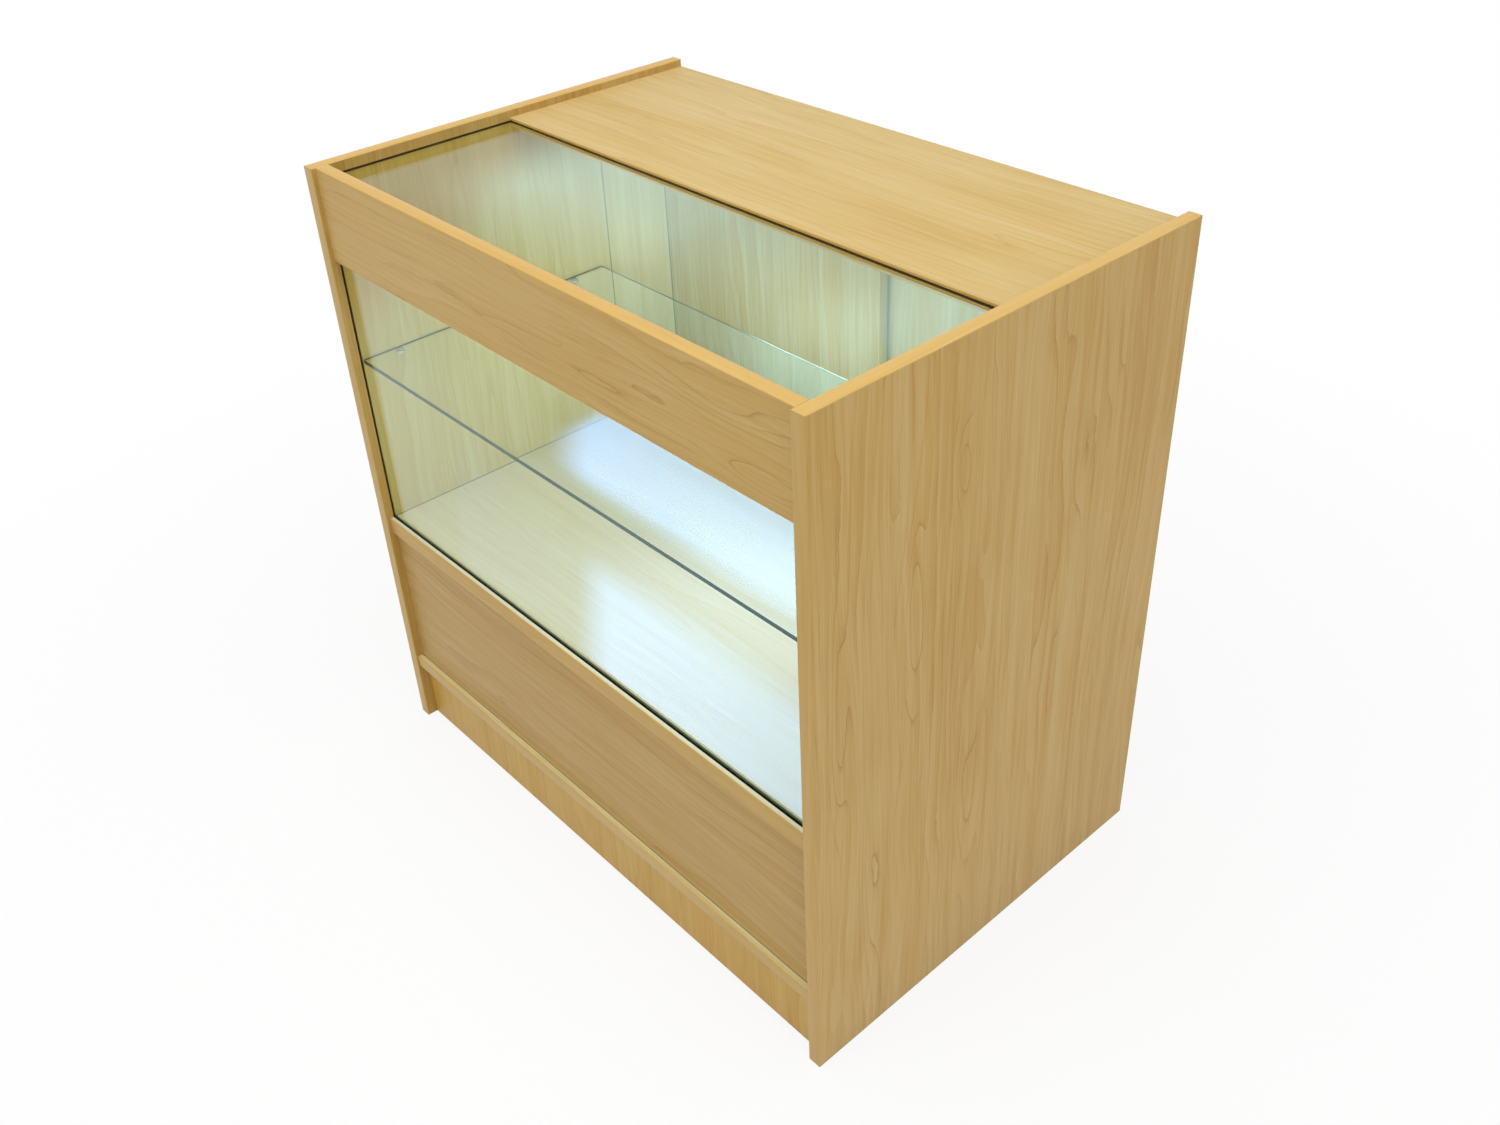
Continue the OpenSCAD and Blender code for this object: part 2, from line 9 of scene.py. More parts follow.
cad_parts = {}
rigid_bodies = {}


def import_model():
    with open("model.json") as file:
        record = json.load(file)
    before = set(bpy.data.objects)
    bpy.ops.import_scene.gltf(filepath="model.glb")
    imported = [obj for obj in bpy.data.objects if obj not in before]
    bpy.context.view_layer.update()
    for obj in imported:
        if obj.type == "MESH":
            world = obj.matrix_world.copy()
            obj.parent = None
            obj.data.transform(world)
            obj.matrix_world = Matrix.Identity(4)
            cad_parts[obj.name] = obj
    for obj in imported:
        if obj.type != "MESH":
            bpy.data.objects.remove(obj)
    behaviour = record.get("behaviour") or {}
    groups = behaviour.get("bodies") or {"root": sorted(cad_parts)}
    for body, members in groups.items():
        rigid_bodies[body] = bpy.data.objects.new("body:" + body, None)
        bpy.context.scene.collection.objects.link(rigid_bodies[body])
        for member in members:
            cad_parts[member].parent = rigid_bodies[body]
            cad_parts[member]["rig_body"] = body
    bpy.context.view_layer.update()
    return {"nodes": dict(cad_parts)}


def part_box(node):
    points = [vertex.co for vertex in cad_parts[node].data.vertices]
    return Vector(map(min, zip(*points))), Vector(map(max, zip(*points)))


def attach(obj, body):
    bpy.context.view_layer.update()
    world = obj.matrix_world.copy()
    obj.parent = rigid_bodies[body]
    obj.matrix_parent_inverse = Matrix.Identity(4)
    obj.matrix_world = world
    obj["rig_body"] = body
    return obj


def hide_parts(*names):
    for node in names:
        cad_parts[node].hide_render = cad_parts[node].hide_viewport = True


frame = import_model()

MM = 0.001

# Camera, solved from the photograph's frame of 1500 by 1125 pixels
PHOTO_W = 1500
PHOTO_H = 1125
FOCAL_PX = 1440.8
CENTRE_PX = (756.25, 498.1)
CAMERA_AT = Vector((1.2260, -1.0325, 1.5194))
CAMERA_RIGHT = Vector((0.67411, 0.73762, -0.03869))
CAMERA_FORWARD = Vector((-0.63111, 0.54797, -0.54903))
SENSOR = 36.0
CLIP_START = 20 * MM

# Maple decor: pale, middle and deep tones of the print, its orange bands and its growth lines
PALE = (0.569, 0.403, 0.170)
MIDDLE = (0.528, 0.348, 0.115)
DEEP = (0.476, 0.283, 0.069)
ORANGE = (0.535, 0.300, 0.064)
LINE = (0.300, 0.150, 0.025)
# Raw chipboard core, which shows in the grooves and on edges without edging
CORE_DARK = (0.110, 0.060, 0.022)
CORE_PALE = (0.300, 0.185, 0.085)

X_AXIS, Y_AXIS, Z_AXIS = 0, 1, 2
# Axes across, along and through the grain of boards that stand or lie in each direction
UPRIGHT_SIDE = (Y_AXIS, Z_AXIS, X_AXIS)
UPRIGHT_FRONT = (X_AXIS, Z_AXIS, Y_AXIS)
LEVEL_TOP = (Y_AXIS, X_AXIS, Z_AXIS)
LEVEL_FRONT = (Z_AXIS, X_AXIS, Y_AXIS)

# Places of the colour sockets on a Mix node, which has like-named sockets for other kinds of data
MIX_COLOUR_A = 6
MIX_COLOUR_B = 7
MIX_COLOUR_RESULT = 2

WHITE = (1.0, 1.0, 1.0)

# Sizes that the frame doesn't give: rounding of the edging, chamfer of the glass, and the slope
# along the shelf's rear edge as (depth, drop)
ARRIS = 0.8 * MM
GLASS_ARRIS = 0.25 * MM
SHELF_REAR_SLOPE = (1.5 * MM, 0.32 * MM)
# Gap left between the glass and the sides of its grooves
SEAT_CLEARANCE = 0.05 * MM
# Reach of a test for what lies in one plane, and how near two corners count as one
HAIR = 0.1 * MM
TOUCH = 0.001 * MM

# Depth at which the left side panel's decor changes, and its line shows
LEFT_SEAM = 139 * MM

# Tints of painted light on the faces in the display space, which make them look paler and greener than
# the outside
INNER_WALL_LIGHT = (1.16, 1.58, 2.20)
INNER_DECK_LIGHT = (1.04, 1.36, 2.30)
INNER_DOOR_LIGHT = (1.02, 1.38, 2.05)
# Share of plain colour over the pattern on those faces
INNER_VEIL = 0.12
# The painted light weakens between these heights, which hold at the middle of the depth, to this share
TINT_FADE = (770 * MM, 870 * MM)
TINT_ABOVE = 0.18
# How much these heights rise with every metre towards the rear
TINT_FADE_SLOPE = 0.5
# Warmer tint of what lies above them, painted light as well
WARM_LIGHT_ABOVE = (1.12, 1.12, 0.80)
# Shadow line where two boards meet: its half width and colour
JOINT_WIDTH = 1.6 * MM
JOINT_SHADE = (0.10, 0.12, 0.06)
# Painted highlight along the deck's lip in front of the glass, and its half width
LIP_HIGHLIGHT = (0.65, 0.60, 0.44)
LIP_WIDTH = 5.0 * MM
# Painted light on the strip of the base board that shows in front of the lower front panel: the tint
# that makes it paler
BASE_LIP_LIGHT = (1.5, 1.75, 2.1)
# Height of the band of painted teal shade at the foot of the front glass, above its groove
FOOT_SHADE_BAND = 3.2 * MM
# Painted light along the foot of the lower front panel, just above the base board, which lightens the
# shade there, and how far up it reaches
PANEL_FOOT_LIGHT = (0.60, 0.44, 0.21)
PANEL_FOOT = 10 * MM


# Shader helper

class Tree:
    """Adds and links nodes in one tree. An input is a number, a tuple or another node's output."""

    def __init__(self, tree):
        self.tree = tree

    def put(self, socket, value):
        if isinstance(value, bpy.types.NodeSocket):
            self.tree.links.new(value, socket)
        elif isinstance(value, tuple) and len(value) == 3 and socket.type == "RGBA":
            socket.default_value = (*value, 1.0)
        else:
            socket.default_value = value

    def add(self, kind, settings=None, **inputs):
        node = self.tree.nodes.new(kind)
        for name, value in (settings or {}).items():
            setattr(node, name, value)
        for name, value in inputs.items():
            self.put(node.inputs[name.replace("_", " ")], value)
        return node

    def math(self, operation, a, b=0.0):
        node = self.add("ShaderNodeMath", {"operation": operation})
        self.put(node.inputs[0], a)
        self.put(node.inputs[1], b)
        return node.outputs[0]

    def times(self, a, b):
        return self.math("MULTIPLY", a, b)

    def plus(self, a, b):
        return self.math("ADD", a, b)

    def minus(self, a, b):
        return self.math("SUBTRACT", a, b)

    def vector(self, operation, a, b):
        node = self.add("ShaderNodeVectorMath", {"operation": operation})
        self.put(node.inputs[0], a)
        self.put(node.inputs[1], b)
        return node.outputs[0]

    def position(self):
        """Place in the object's own frame, in metres."""
        return self.add("ShaderNodeTexCoord").outputs["Object"]

    def split(self, vector):
        """The three parts of a vector or colour."""
        return self.add("ShaderNodeSeparateXYZ", Vector=vector).outputs

    def ray(self, kind):
        """1 for rays of a kind and 0 for others."""
        return self.add("ShaderNodeLightPath").outputs[f"Is {kind} Ray"]

    def noise(self, place, size, detail=1.0, roughness=0.5):
        """Smooth noise from 0 to 1 whose features are size = (across, along, through) long."""
        scaled = self.vector("MULTIPLY", place, tuple(1 / s for s in size))
        node = self.add("ShaderNodeTexNoise", Vector=scaled, Scale=1.0, Detail=detail,
                        Roughness=roughness)
        return node.outputs["Fac"]

    def spread(self, value, low, high, new_low=0.0, new_high=1.0, smooth=True):
        """value from low to high turned into new_low to new_high, and held level beyond them."""
        kind = "SMOOTHSTEP" if smooth else "LINEAR"
        node = self.add("ShaderNodeMapRange", {"interpolation_type": kind, "clamp": True})
        for name, x in zip(("Value", "From Min", "From Max", "To Min", "To Max"),
                           (value, low, high, new_low, new_high)):
            self.put(node.inputs[name], x)
        return node.outputs["Result"]

    def within(self, spot, low, high):
        """1 inside the box from low to high and 0 outside it. spot is a position in metres."""
        result = 1.0
        for part, lowest, highest in zip(self.split(spot), low, high):
            for operation, limit in (("GREATER_THAN", lowest), ("LESS_THAN", highest)):
                result = self.times(self.math(operation, part, limit), result)
        return result

    def mix(self, factor, a, b, blend="MIX"):
        node = self.add("ShaderNodeMix", {"data_type": "RGBA", "blend_type": blend})
        self.put(node.inputs["Factor"], factor)
        self.put(node.inputs[MIX_COLOUR_A], a)
        self.put(node.inputs[MIX_COLOUR_B], b)
        return node.outputs[MIX_COLOUR_RESULT]

    def mix_shaders(self, factor, a, b):
        node = self.add("ShaderNodeMixShader")
        for socket, value in zip(node.inputs, (factor, a, b)):
            self.put(socket, value)
        return node.outputs[0]


def material(name):
    """A new material, its tree, and the socket that takes its surface."""
    mat = bpy.data.materials.new(name)
    mat.use_nodes = True
    mat.node_tree.nodes.clear()
    tree = Tree(mat.node_tree)
    return mat, tree, tree.add("ShaderNodeOutputMaterial").inputs["Surface"]


def finish_surface(tree, surface, colour, roughness, height=None, depth=0.0, **constants):
    """One Principled shader on the surface. constants are plain values on its own sockets.
    height, from 0 to 1, makes bumps of a depth in metres."""
    shader = tree.add("ShaderNodeBsdfPrincipled")
    tree.put(shader.inputs["Base Color"], colour)
    tree.put(shader.inputs["Roughness"], roughness)
    for name, value in constants.items():
        tree.put(shader.inputs[name.replace("_", " ")], value)
    if height is not None:
        bump = tree.add("ShaderNodeBump", Strength=1.0, Distance=depth, Height=height)
        tree.put(shader.inputs["Normal"], bump.outputs["Normal"])
    tree.put(surface, shader.outputs["BSDF"])


# Maple decor

# Lengths of the print are in millimetres. A noise is the size of its features as (across, along,
# through), then its detail and roughness where they aren't the usual ones
RING_WIDTH = 17.0
# Growth rings are bent by three noises, each by up to half of its reach
RING_BEND = ((95.0, 760.0, 95.0), 2.0)
RING_ARCH = ((34.0, 210.0, 34.0),)
RING_JAG = ((5.0, 17.0, 5.0),)
RING_BEND_REACH = 120.0
RING_ARCH_REACH = 34.0
RING_JAG_REACH = 2.8
# Tone of each ring's band: how much it varies, how much it deepens towards its line, by which
# power, and what brings its mean to nothing
BAND_VARIES = 0.34
BAND_DEEPENS = 0.34
BAND_POWER = 1.6
BAND_MEAN = 0.13
# Where the bands are crisp: a noise, and the range of it over which their share rises
CRISP_PATCHES = ((70.0, 420.0, 70.0),)
CRISP = (0.40, 0.60, 0.15, 1.0)
# How far the grain sways sideways
SWAY = ((85.0, 620.0, 85.0), 2.0)
SWAY_REACH = 60.0
# Layers of the grain
BROAD_GRAIN = ((22.0, 1500.0, 22.0), 2.0)
MEDIUM_GRAIN = ((5.0, 330.0, 5.0), 2.0, 0.6)
FINE_GRAIN = ((1.6, 95.0, 1.6), 2.0, 0.65)
CLOUDS = ((110.0, 260.0, 110.0), 2.0)
PORE_GRAIN = ((0.7, 16.0, 0.7),)
# Weights of the broad, the medium and the fine grain and of the clouds in the tone
GRAIN_WEIGHTS = (1.0, 1.1, 1.1, 0.7)
# Orange bands and pores: the range of a noise over which they come in, and their strength
ORANGE_FROM = (0.62, 0.95)
ORANGE_SHARE = 0.30
PORES_FROM = (0.58, 0.76)
PORES_SHARE = 0.09
# Growth lines: how narrow they are, where they are drawn, and how nearness to an oval's heart
# brings them out
LINE_POWER = 16.0
LINE_PATCHES = ((48.0, 300.0, 48.0),)
LINES_FROM = (0.44, 0.62)
LINES_AT_HEART = (0.08, 0.35, 0.0, 1.5)
# A new plank every so far across the grain, and how far its pattern may be shifted
PLANK_WIDTH = 4000.0
PLANK_SHIFT = (900.0, 2300.0, 700.0)
# Seam of a board that shows none: no plank starts within the counter
NO_SEAM = -9000.0
# What tells the rings of boards with different seeds apart
RING_SEED = 17.0
# How much the gloss varies with the fine grain, and how deep the grain is in metres
GLOSS_VARIES = 0.10
GRAIN_DEPTH = 0.02 * MM
# Chips of the core, with their size in metres, and the range of their noise from dark to pale
CHIPS = ((1.6 * MM, 1.6 * MM, 1.6 * MM), 3.0, 0.65)
CHIPS_FROM = (0.42, 0.66)


def white_noise(tree, number):
    """Random values that stay the same for the same number."""
    return tree.add("ShaderNodeTexWhiteNoise", {"noise_dimensions": "1D"}, W=number).outputs


def grain_place(tree, axes, seed, seam):
    """Place in the grain in millimetres as (across, along, through), shifted anew for every plank,
    the same place without the shift, and a random value of the plank."""
    parts = tree.split(tree.position())
    plain = [tree.times(parts[axis], 1 / MM) for axis in axes]
    past_seam = tree.minus(plain[0], seam)
    index = tree.math("FLOOR", tree.math("DIVIDE", past_seam, PLANK_WIDTH))
    shuffle = white_noise(tree, tree.plus(index, seed))
    place = tree.add("ShaderNodeCombineXYZ", X=plain[0], Y=plain[1], Z=plain[2]).outputs[0]
    shift = tree.vector("MULTIPLY", shuffle["Color"], PLANK_SHIFT)
    return tree.vector("ADD", place, shift), plain, shuffle["Value"]


def centred(tree, value, scale):
    """A noise value moved to lie about 0, times scale."""
    return tree.times(tree.minus(value, 0.5), scale)


def growth_rings(tree, place, plain, hearts):
    """Phase and number of the growth rings, level curves that close round each heart, and how
    near the nearest heart is."""
    bend = centred(tree, tree.noise(place, *RING_BEND), RING_BEND_REACH)
    arch = centred(tree, tree.noise(place, *RING_ARCH), RING_ARCH_REACH)
    jag = centred(tree, tree.noise(place, *RING_JAG), RING_JAG_REACH)
    shifted = tree.plus(tree.plus(bend, arch), tree.plus(plain[0], jag))
    field = tree.math("DIVIDE", shifted, RING_WIDTH)
    near_heart = 0.0
    for across, along, half_width, half_length, rise in hearts:
        du = tree.math("DIVIDE", tree.minus(plain[0], across), half_width)
        dv = tree.math("DIVIDE", tree.minus(plain[1], along), half_length)
        square = tree.plus(tree.times(du, du), tree.times(dv, dv))
        bump = tree.math("EXPONENT", tree.times(square, -1.0))
        field = tree.plus(field, tree.times(bump, rise))
        near_heart = tree.math("MAXIMUM", bump, near_heart)
    return tree.math("FRACT", field), tree.math("FLOOR", field), near_heart


def growth_bands(tree, place, phase, number, seed):
    """Tone of the growth bands about 0, how crisp they are, and how orange each one is."""
    per_ring = white_noise(tree, tree.plus(number, seed * RING_SEED))["Color"]
    ring_values = tree.split(per_ring)
    crisp = tree.spread(tree.noise(place, *CRISP_PATCHES), *CRISP)
    ramp = tree.times(tree.math("POWER", phase, BAND_POWER), BAND_DEEPENS)
    varied = centred(tree, ring_values[0], BAND_VARIES)
    banded = tree.plus(varied, tree.minus(ramp, BAND_MEAN))
    return banded, crisp, ring_values[1]


def chipboard(tree, where):
    """Colour of a sawn chipboard edge: dark with paler chips."""
    return tree.mix(tree.spread(tree.noise(where, *CHIPS), *CHIPS_FROM), CORE_DARK, CORE_PALE)


def with_core(tree, where, colour, core):
    """The given colour on a board's two faces, and its raw chipboard between them."""
    axis, low, high = core
    thickness = tree.split(where)[axis]
    sawn = tree.times(tree.math("GREATER_THAN", thickness, low + HAIR),
                      tree.math("LESS_THAN", thickness, high - HAIR))
    return tree.mix(sawn, colour, chipboard(tree, where))


def with_painted_light(tree, where, colour, inside, joints):
    """The given colour with painted light in a box: tinted as its tint says, the tint weaker and warmer
    towards the top, and the given lines of painted shadow and painted light there.
    """
    low, high, light_tint = inside
    parts = tree.split(where)
    facing = tree.within(where, low, high)
    softer = tree.mix(INNER_VEIL, colour, MIDDLE)
    tinted = tree.mix(1.0, softer, light_tint, "MULTIPLY")
    level = tree.minus(parts[Z_AXIS], tree.times(parts[Y_AXIS], TINT_FADE_SLOPE))
    warmer = tree.mix(1.0, colour, WARM_LIGHT_ABOVE, "MULTIPLY")
    above = tree.times(facing, tree.spread(level, *TINT_FADE))
    colour = tree.mix(above, colour, warmer)
    share = tree.times(facing, tree.spread(level, *TINT_FADE, 1.0, TINT_ABOVE))
    colour = tree.mix(share, colour, tinted)
    for axis, place, width, line_colour in joints:
        distance = tree.math("ABSOLUTE", tree.minus(parts[axis], place))
        shade = tree.times(tree.spread(distance, 0.0, width, 1.0, 0.0), facing)
        colour = tree.mix(shade, colour, line_colour)
    return colour


def maple(name, axes, seed, seam=NO_SEAM, plank_tone=0.12, hearts=(), tone=1.0, lines=0.45,
          contrast=1.0, tint=WHITE, roughness=0.40, inside=None, joints=(), core=None):
    """Satin melamine printed with maple. axes are those across, along and through the grain.
    seam is a place across the grain, in millimetres, where one plank ends and the next starts.
    plank_tone, lines and contrast weigh the planks, the growth lines and the whole pattern.
    inside is (low corner, high corner, tint): what lies in that box is tinted with painted light.
    Lines in that box come as (axis, place, half width, colour): painted shadow lines where boards meet
    or the decor changes, and lines of painted light.
    core is (axis, low, high): between the two faces of the board its raw chipboard shows."""
    mat, tree, surface = material(name)
    place, plain, random = grain_place(tree, axes, seed, seam)
    phase, number, near_heart = growth_rings(tree, place, plain, hearts)
    banded, crisp, orange = growth_bands(tree, place, phase, number, seed)
    sway = centred(tree, tree.noise(place, *SWAY), SWAY_REACH)
    swayed = tree.vector("ADD", place, tree.add("ShaderNodeCombineXYZ", X=sway).outputs[0])
    fine = tree.noise(swayed, *FINE_GRAIN)
    layers = (tree.noise(swayed, *BROAD_GRAIN), tree.noise(swayed, *MEDIUM_GRAIN), fine,
              tree.noise(place, *CLOUDS), random)
    deep = tree.times(banded, tree.times(crisp, contrast))
    for layer, weight in zip(layers, (*GRAIN_WEIGHTS, plank_tone)):
        deep = tree.plus(centred(tree, layer, weight * contrast), deep)
    deep = tree.plus(deep, 0.5)
    prints = (PALE, MIDDLE, DEEP, ORANGE, LINE)
    tones = [tuple(c * tone * t for c, t in zip(rgb, tint)) for rgb in prints]
    pale, middle, dark, orange_tone, line_tone = tones
    upper = tree.mix(tree.spread(deep, 0.0, 0.5, smooth=False), pale, middle)
    colour = tree.mix(tree.spread(deep, 0.5, 1.0, smooth=False), upper, dark)
    glow = tree.times(tree.spread(orange, *ORANGE_FROM), ORANGE_SHARE * contrast)
    colour = tree.mix(tree.times(glow, crisp), colour, orange_tone)
    pores = tree.spread(tree.noise(swayed, *PORE_GRAIN), *PORES_FROM)
    colour = tree.mix(tree.times(pores, PORES_SHARE * contrast), colour, line_tone)
    line = tree.math("POWER", phase, LINE_POWER)
    drawn = tree.spread(tree.noise(place, *LINE_PATCHES), *LINES_FROM)
    drawn = tree.math("MAXIMUM", drawn, tree.spread(near_heart, *LINES_AT_HEART))
    shown = tree.times(tree.times(line, drawn), lines)
    colour = tree.mix(shown, colour, line_tone)
    where = tree.position()
    if inside:
        colour = with_painted_light(tree, where, colour, inside, joints)
    if core:
        colour = with_core(tree, where, colour, core)
    height = tree.times(tree.plus(fine, pores), -0.5)
    gloss = tree.plus(centred(tree, fine, GLOSS_VARIES), roughness)
    finish_surface(tree, surface, colour, gloss, height, GRAIN_DEPTH, Specular_IOR_Level=0.22)
    return mat


# Other finishes

def clear_glass(name, tint, mirror_tint):
    """Float glass that bends and mirrors, and lets lamps and soft light through."""
    mat, tree, surface = material(name)
    shader = tree.add("ShaderNodeBsdfPrincipled", Roughness=0.0, IOR=1.5, Transmission_Weight=1.0)
    tree.put(shader.inputs["Specular Tint"], mirror_tint)
    tree.put(shader.inputs["Base Color"], tint)
    passing = tree.add("ShaderNodeBsdfTransparent", Color=tuple(math.sqrt(c) for c in tint))
    lets_pass = tree.math("MAXIMUM", tree.ray("Shadow"), tree.ray("Diffuse"))
    tree.put(surface, tree.mix_shaders(lets_pass, shader.outputs[0], passing.outputs[0]))
    return mat


# Dark and pale tone of the glass's ground edges and of its frosted chamfers
EDGE_DARK = (0.004, 0.022, 0.014)
EDGE_PALE = (0.010, 0.038, 0.026)
FROST_DARK = (0.02, 0.06, 0.045)
FROST_PALE = (0.07, 0.14, 0.12)


def glass_edge():
    """Ground and polished edge of float glass: dark teal, a little uneven along its length."""
    mat, tree, surface = material("glass_edge")
    where = tree.position()
    bands = tree.noise(where, (110 * MM, 110 * MM, 4 * MM), 2.0)
    colour = tree.mix(tree.spread(bands, 0.35, 0.65), EDGE_DARK, EDGE_PALE)
    finish_surface(tree, surface, colour, tree.spread(bands, 0.3, 0.7, 0.12, 0.22),
                   Specular_IOR_Level=0.08)
    return mat


def glass_arris():
    """Narrow ground chamfer between the faces and the edge of the glass: pale and frosted."""
    mat, tree, surface = material("glass_arris")
    where = tree.position()
    grit = tree.noise(where, (0.6 * MM, 0.6 * MM, 0.6 * MM), 2.0)
    colour = tree.mix(grit, FROST_DARK, FROST_PALE)
    finish_surface(tree, surface, colour, tree.spread(grit, 0.2, 0.8, 0.3, 0.5), grit,
                   depth=0.02 * MM, Specular_IOR_Level=0.2)
    return mat


def plain_finish(name, colour, roughness, vary, grain, depth, metallic=0.0, **constants):
    """Metal, plastic or wood. vary is the share by which its colour varies. grain and depth are the
    size and the depth of its marks in millimetres. constants are values for the shader."""
    mat, tree, surface = material(name)
    where = tree.position()
    marks = tree.noise(where, tuple(size * MM for size in grain), 3.0, 0.6)
    cloud = tree.noise(where, (20 * MM, 20 * MM, 20 * MM), 2.0)
    dark = tuple(c * (1 - vary) for c in colour)
    light = tuple(min(1.0, c * (1 + vary)) for c in colour)
    tone = tree.mix(tree.times(tree.plus(marks, cloud), 0.5), dark, light)
    rough = tree.spread(marks, 0.25, 0.75, roughness * 0.8, roughness * 1.2)
    finish_surface(tree, surface, tone, rough, marks, depth=depth * MM, Metallic=metallic,
                   **constants)
    return mat


# Ovals of growth lines on the right side panel and on the fascia, in millimetres:
# (place across the grain, place along it, half width, half length, rise in rings)
RIGHT_HEARTS = (
    (-85.0, 752.0, 15.0, 52.0, 2.4),
    (-152.0, 600.0, 13.0, 140.0, 2.2),
    (-262.0, 520.0, 12.0, 150.0, 1.5),
    (-60.0, 300.0, 20.0, 110.0, 1.3),
    (-215.0, 240.0, 16.0, 120.0, 1.6),
    (110.0, 640.0, 16.0, 90.0, 1.4),
)
FASCIA_HEARTS = (
    (860.0, 330.0, 16.0, 90.0, 1.8),
    (800.0, 390.0, 14.0, 60.0, 1.6),
    (812.0, 120.0, 12.0, 150.0, 1.2),
)
# Edging finishes: name, axes across, along and through the grain, seed, tone and tint.
# The doors' paler, greener tone and tint are painted light, as on the faces in the display space
EDGINGS = (
    ("x", LEVEL_TOP, 41.0, 1.10, (1.02, 1.0, 0.93)),
    ("y", (X_AXIS, Y_AXIS, Z_AXIS), 43.0, 1.10, (1.02, 1.0, 0.93)),
    ("z", UPRIGHT_FRONT, 47.0, 1.02, (1.02, 1.0, 0.93)),
    ("deck", LEVEL_TOP, 53.0, 1.01, (1.03, 0.985, 0.80)),
    ("door", UPRIGHT_SIDE, 59.0, 1.25, (1.0, 1.3, 1.2)),
    ("base", LEVEL_TOP, 61.0, 1.05, (1.02, 1.05, 1.05)),
)


def meeting(axis, place):
    """Shadow line where another board meets this one."""
    return axis, place, JOINT_WIDTH, JOINT_SHADE


def board_core(node, axis):
    """Limits of a board's thickness, between which its chipboard shows."""
    low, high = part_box(node)
    return axis, low[axis], high[axis]


def display_side(node, axis, sign, tint):
    """Box round a board's face towards the display space, between glass, deck and doors, with the tint
    of painted light for it.
    """
    low = [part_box("side_panel_left")[1].x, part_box("front_glass")[0].y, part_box("display_deck")[1].z]
    high = [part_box("side_panel_right")[0].x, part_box("rear_worktop")[1].y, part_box("top_glass")[0].z]
    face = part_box(node)[1 if sign > 0 else 0][axis]
    low[axis] = face - HAIR
    high[axis] = face + HAIR
    return low, high, tint


def side_finishes():
    """Side panels, with painted light on their faces towards the display space, and there the painted
    shadow lines where the deck and the doors meet them and where the decor changes.
    """
    on_deck = meeting(Z_AXIS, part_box("display_deck")[1].z)
    at_doors = meeting(Y_AXIS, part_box("sliding_door_left")[0].y)
    right = maple("maple_side_right", UPRIGHT_SIDE, 3.0, seam=-12.0, hearts=RIGHT_HEARTS,
                  tint=(1.01, 1.0, 0.94), joints=(on_deck,),
                  inside=display_side("side_panel_right", X_AXIS, -1, INNER_WALL_LIGHT),
                  core=board_core("side_panel_right", X_AXIS))
    left = maple("maple_side_left", UPRIGHT_SIDE, 7.0, seam=LEFT_SEAM / MM, plank_tone=0.6,
                 joints=(at_doors, on_deck, meeting(Y_AXIS, LEFT_SEAM)),
                 inside=display_side("side_panel_left", X_AXIS, 1, INNER_WALL_LIGHT),
                 core=board_core("side_panel_left", X_AXIS))
    return {"side_right": right, "side_left": left}


def top_finishes():
    """Fascia, with painted light on its face towards the display space, and worktop, whose paler, bluer
    tint is painted sheen.
    """
    fascia = maple("maple_fascia", LEVEL_FRONT, 11.0, hearts=FASCIA_HEARTS,
                   contrast=0.75, tint=(1.04, 1.03, 0.95),
                   inside=display_side("front_fascia", Y_AXIS, 1, INNER_WALL_LIGHT),
                   core=board_core("front_fascia", Y_AXIS))
    # The worktop's paler, bluer tint is painted sheen, the light that lies on its top
    worktop = maple("maple_worktop", LEVEL_TOP, 13.0, contrast=0.8, lines=0.25,
                    tint=(1.06, 1.16, 1.40), core=board_core("rear_worktop", Z_AXIS))
    return {"fascia": fascia, "worktop": worktop}


def deck_finish():
    """Display deck, tinted with painted light out to its front edge, with a painted highlight line
    before the glass and painted shadow lines at its ends. Its own paler, bluer tint is painted light on
    a top, like the worktop's.
    """
    low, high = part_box("display_deck")
    glass_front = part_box("front_glass")[0].y
    inside = display_side("display_deck", Z_AXIS, 1, INNER_DECK_LIGHT)
    inside[0][Y_AXIS] = low.y - HAIR
    lip = (Y_AXIS, (low.y + glass_front) / 2, LIP_WIDTH, LIP_HIGHLIGHT)
    return maple("maple_deck", LEVEL_TOP, 17.0, contrast=0.6, lines=0.15, tint=(1.01, 1.07, 1.25),
                 inside=inside, joints=(meeting(X_AXIS, low.x), meeting(X_AXIS, high.x), lip),
                 core=board_core("display_deck", Z_AXIS))


def foot_finishes():
    """Lower front panel with painted light along its foot, base board with painted light on its lip and
    a painted shadow line where the panel meets it, and plinths.
    """
    low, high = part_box("base_board")
    panel_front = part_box("lower_front_panel")[0].y
    foot_light_box = ([low.x, panel_front - HAIR, high.z - HAIR],
                  [high.x, panel_front + HAIR, high.z + PANEL_FOOT], WHITE)
    base_lip_light_box = ([low.x, low.y - HAIR, high.z - HAIR],
                [high.x, panel_front + HAIR, high.z + HAIR], BASE_LIP_LIGHT)
    lower_panel = maple("maple_lower_panel", LEVEL_FRONT, 19.0, contrast=0.9,
                        tint=(0.91, 0.87, 0.77), inside=foot_light_box,
                        joints=((Z_AXIS, high.z, PANEL_FOOT, PANEL_FOOT_LIGHT),),
                        core=board_core("lower_front_panel", Y_AXIS))
    base = maple("maple_base", LEVEL_TOP, 23.0, lines=0.15, tint=(0.92, 1.02, 1.30),
                 inside=base_lip_light_box, joints=(meeting(Y_AXIS, panel_front),),
                 core=board_core("base_board", Z_AXIS))
    plinth = maple("maple_plinth", UPRIGHT_FRONT, 29.0, contrast=1.1, lines=0.2,
                   tint=(1.10, 1.03, 0.63))
    return {"lower_panel": lower_panel, "base": base, "plinth": plinth}


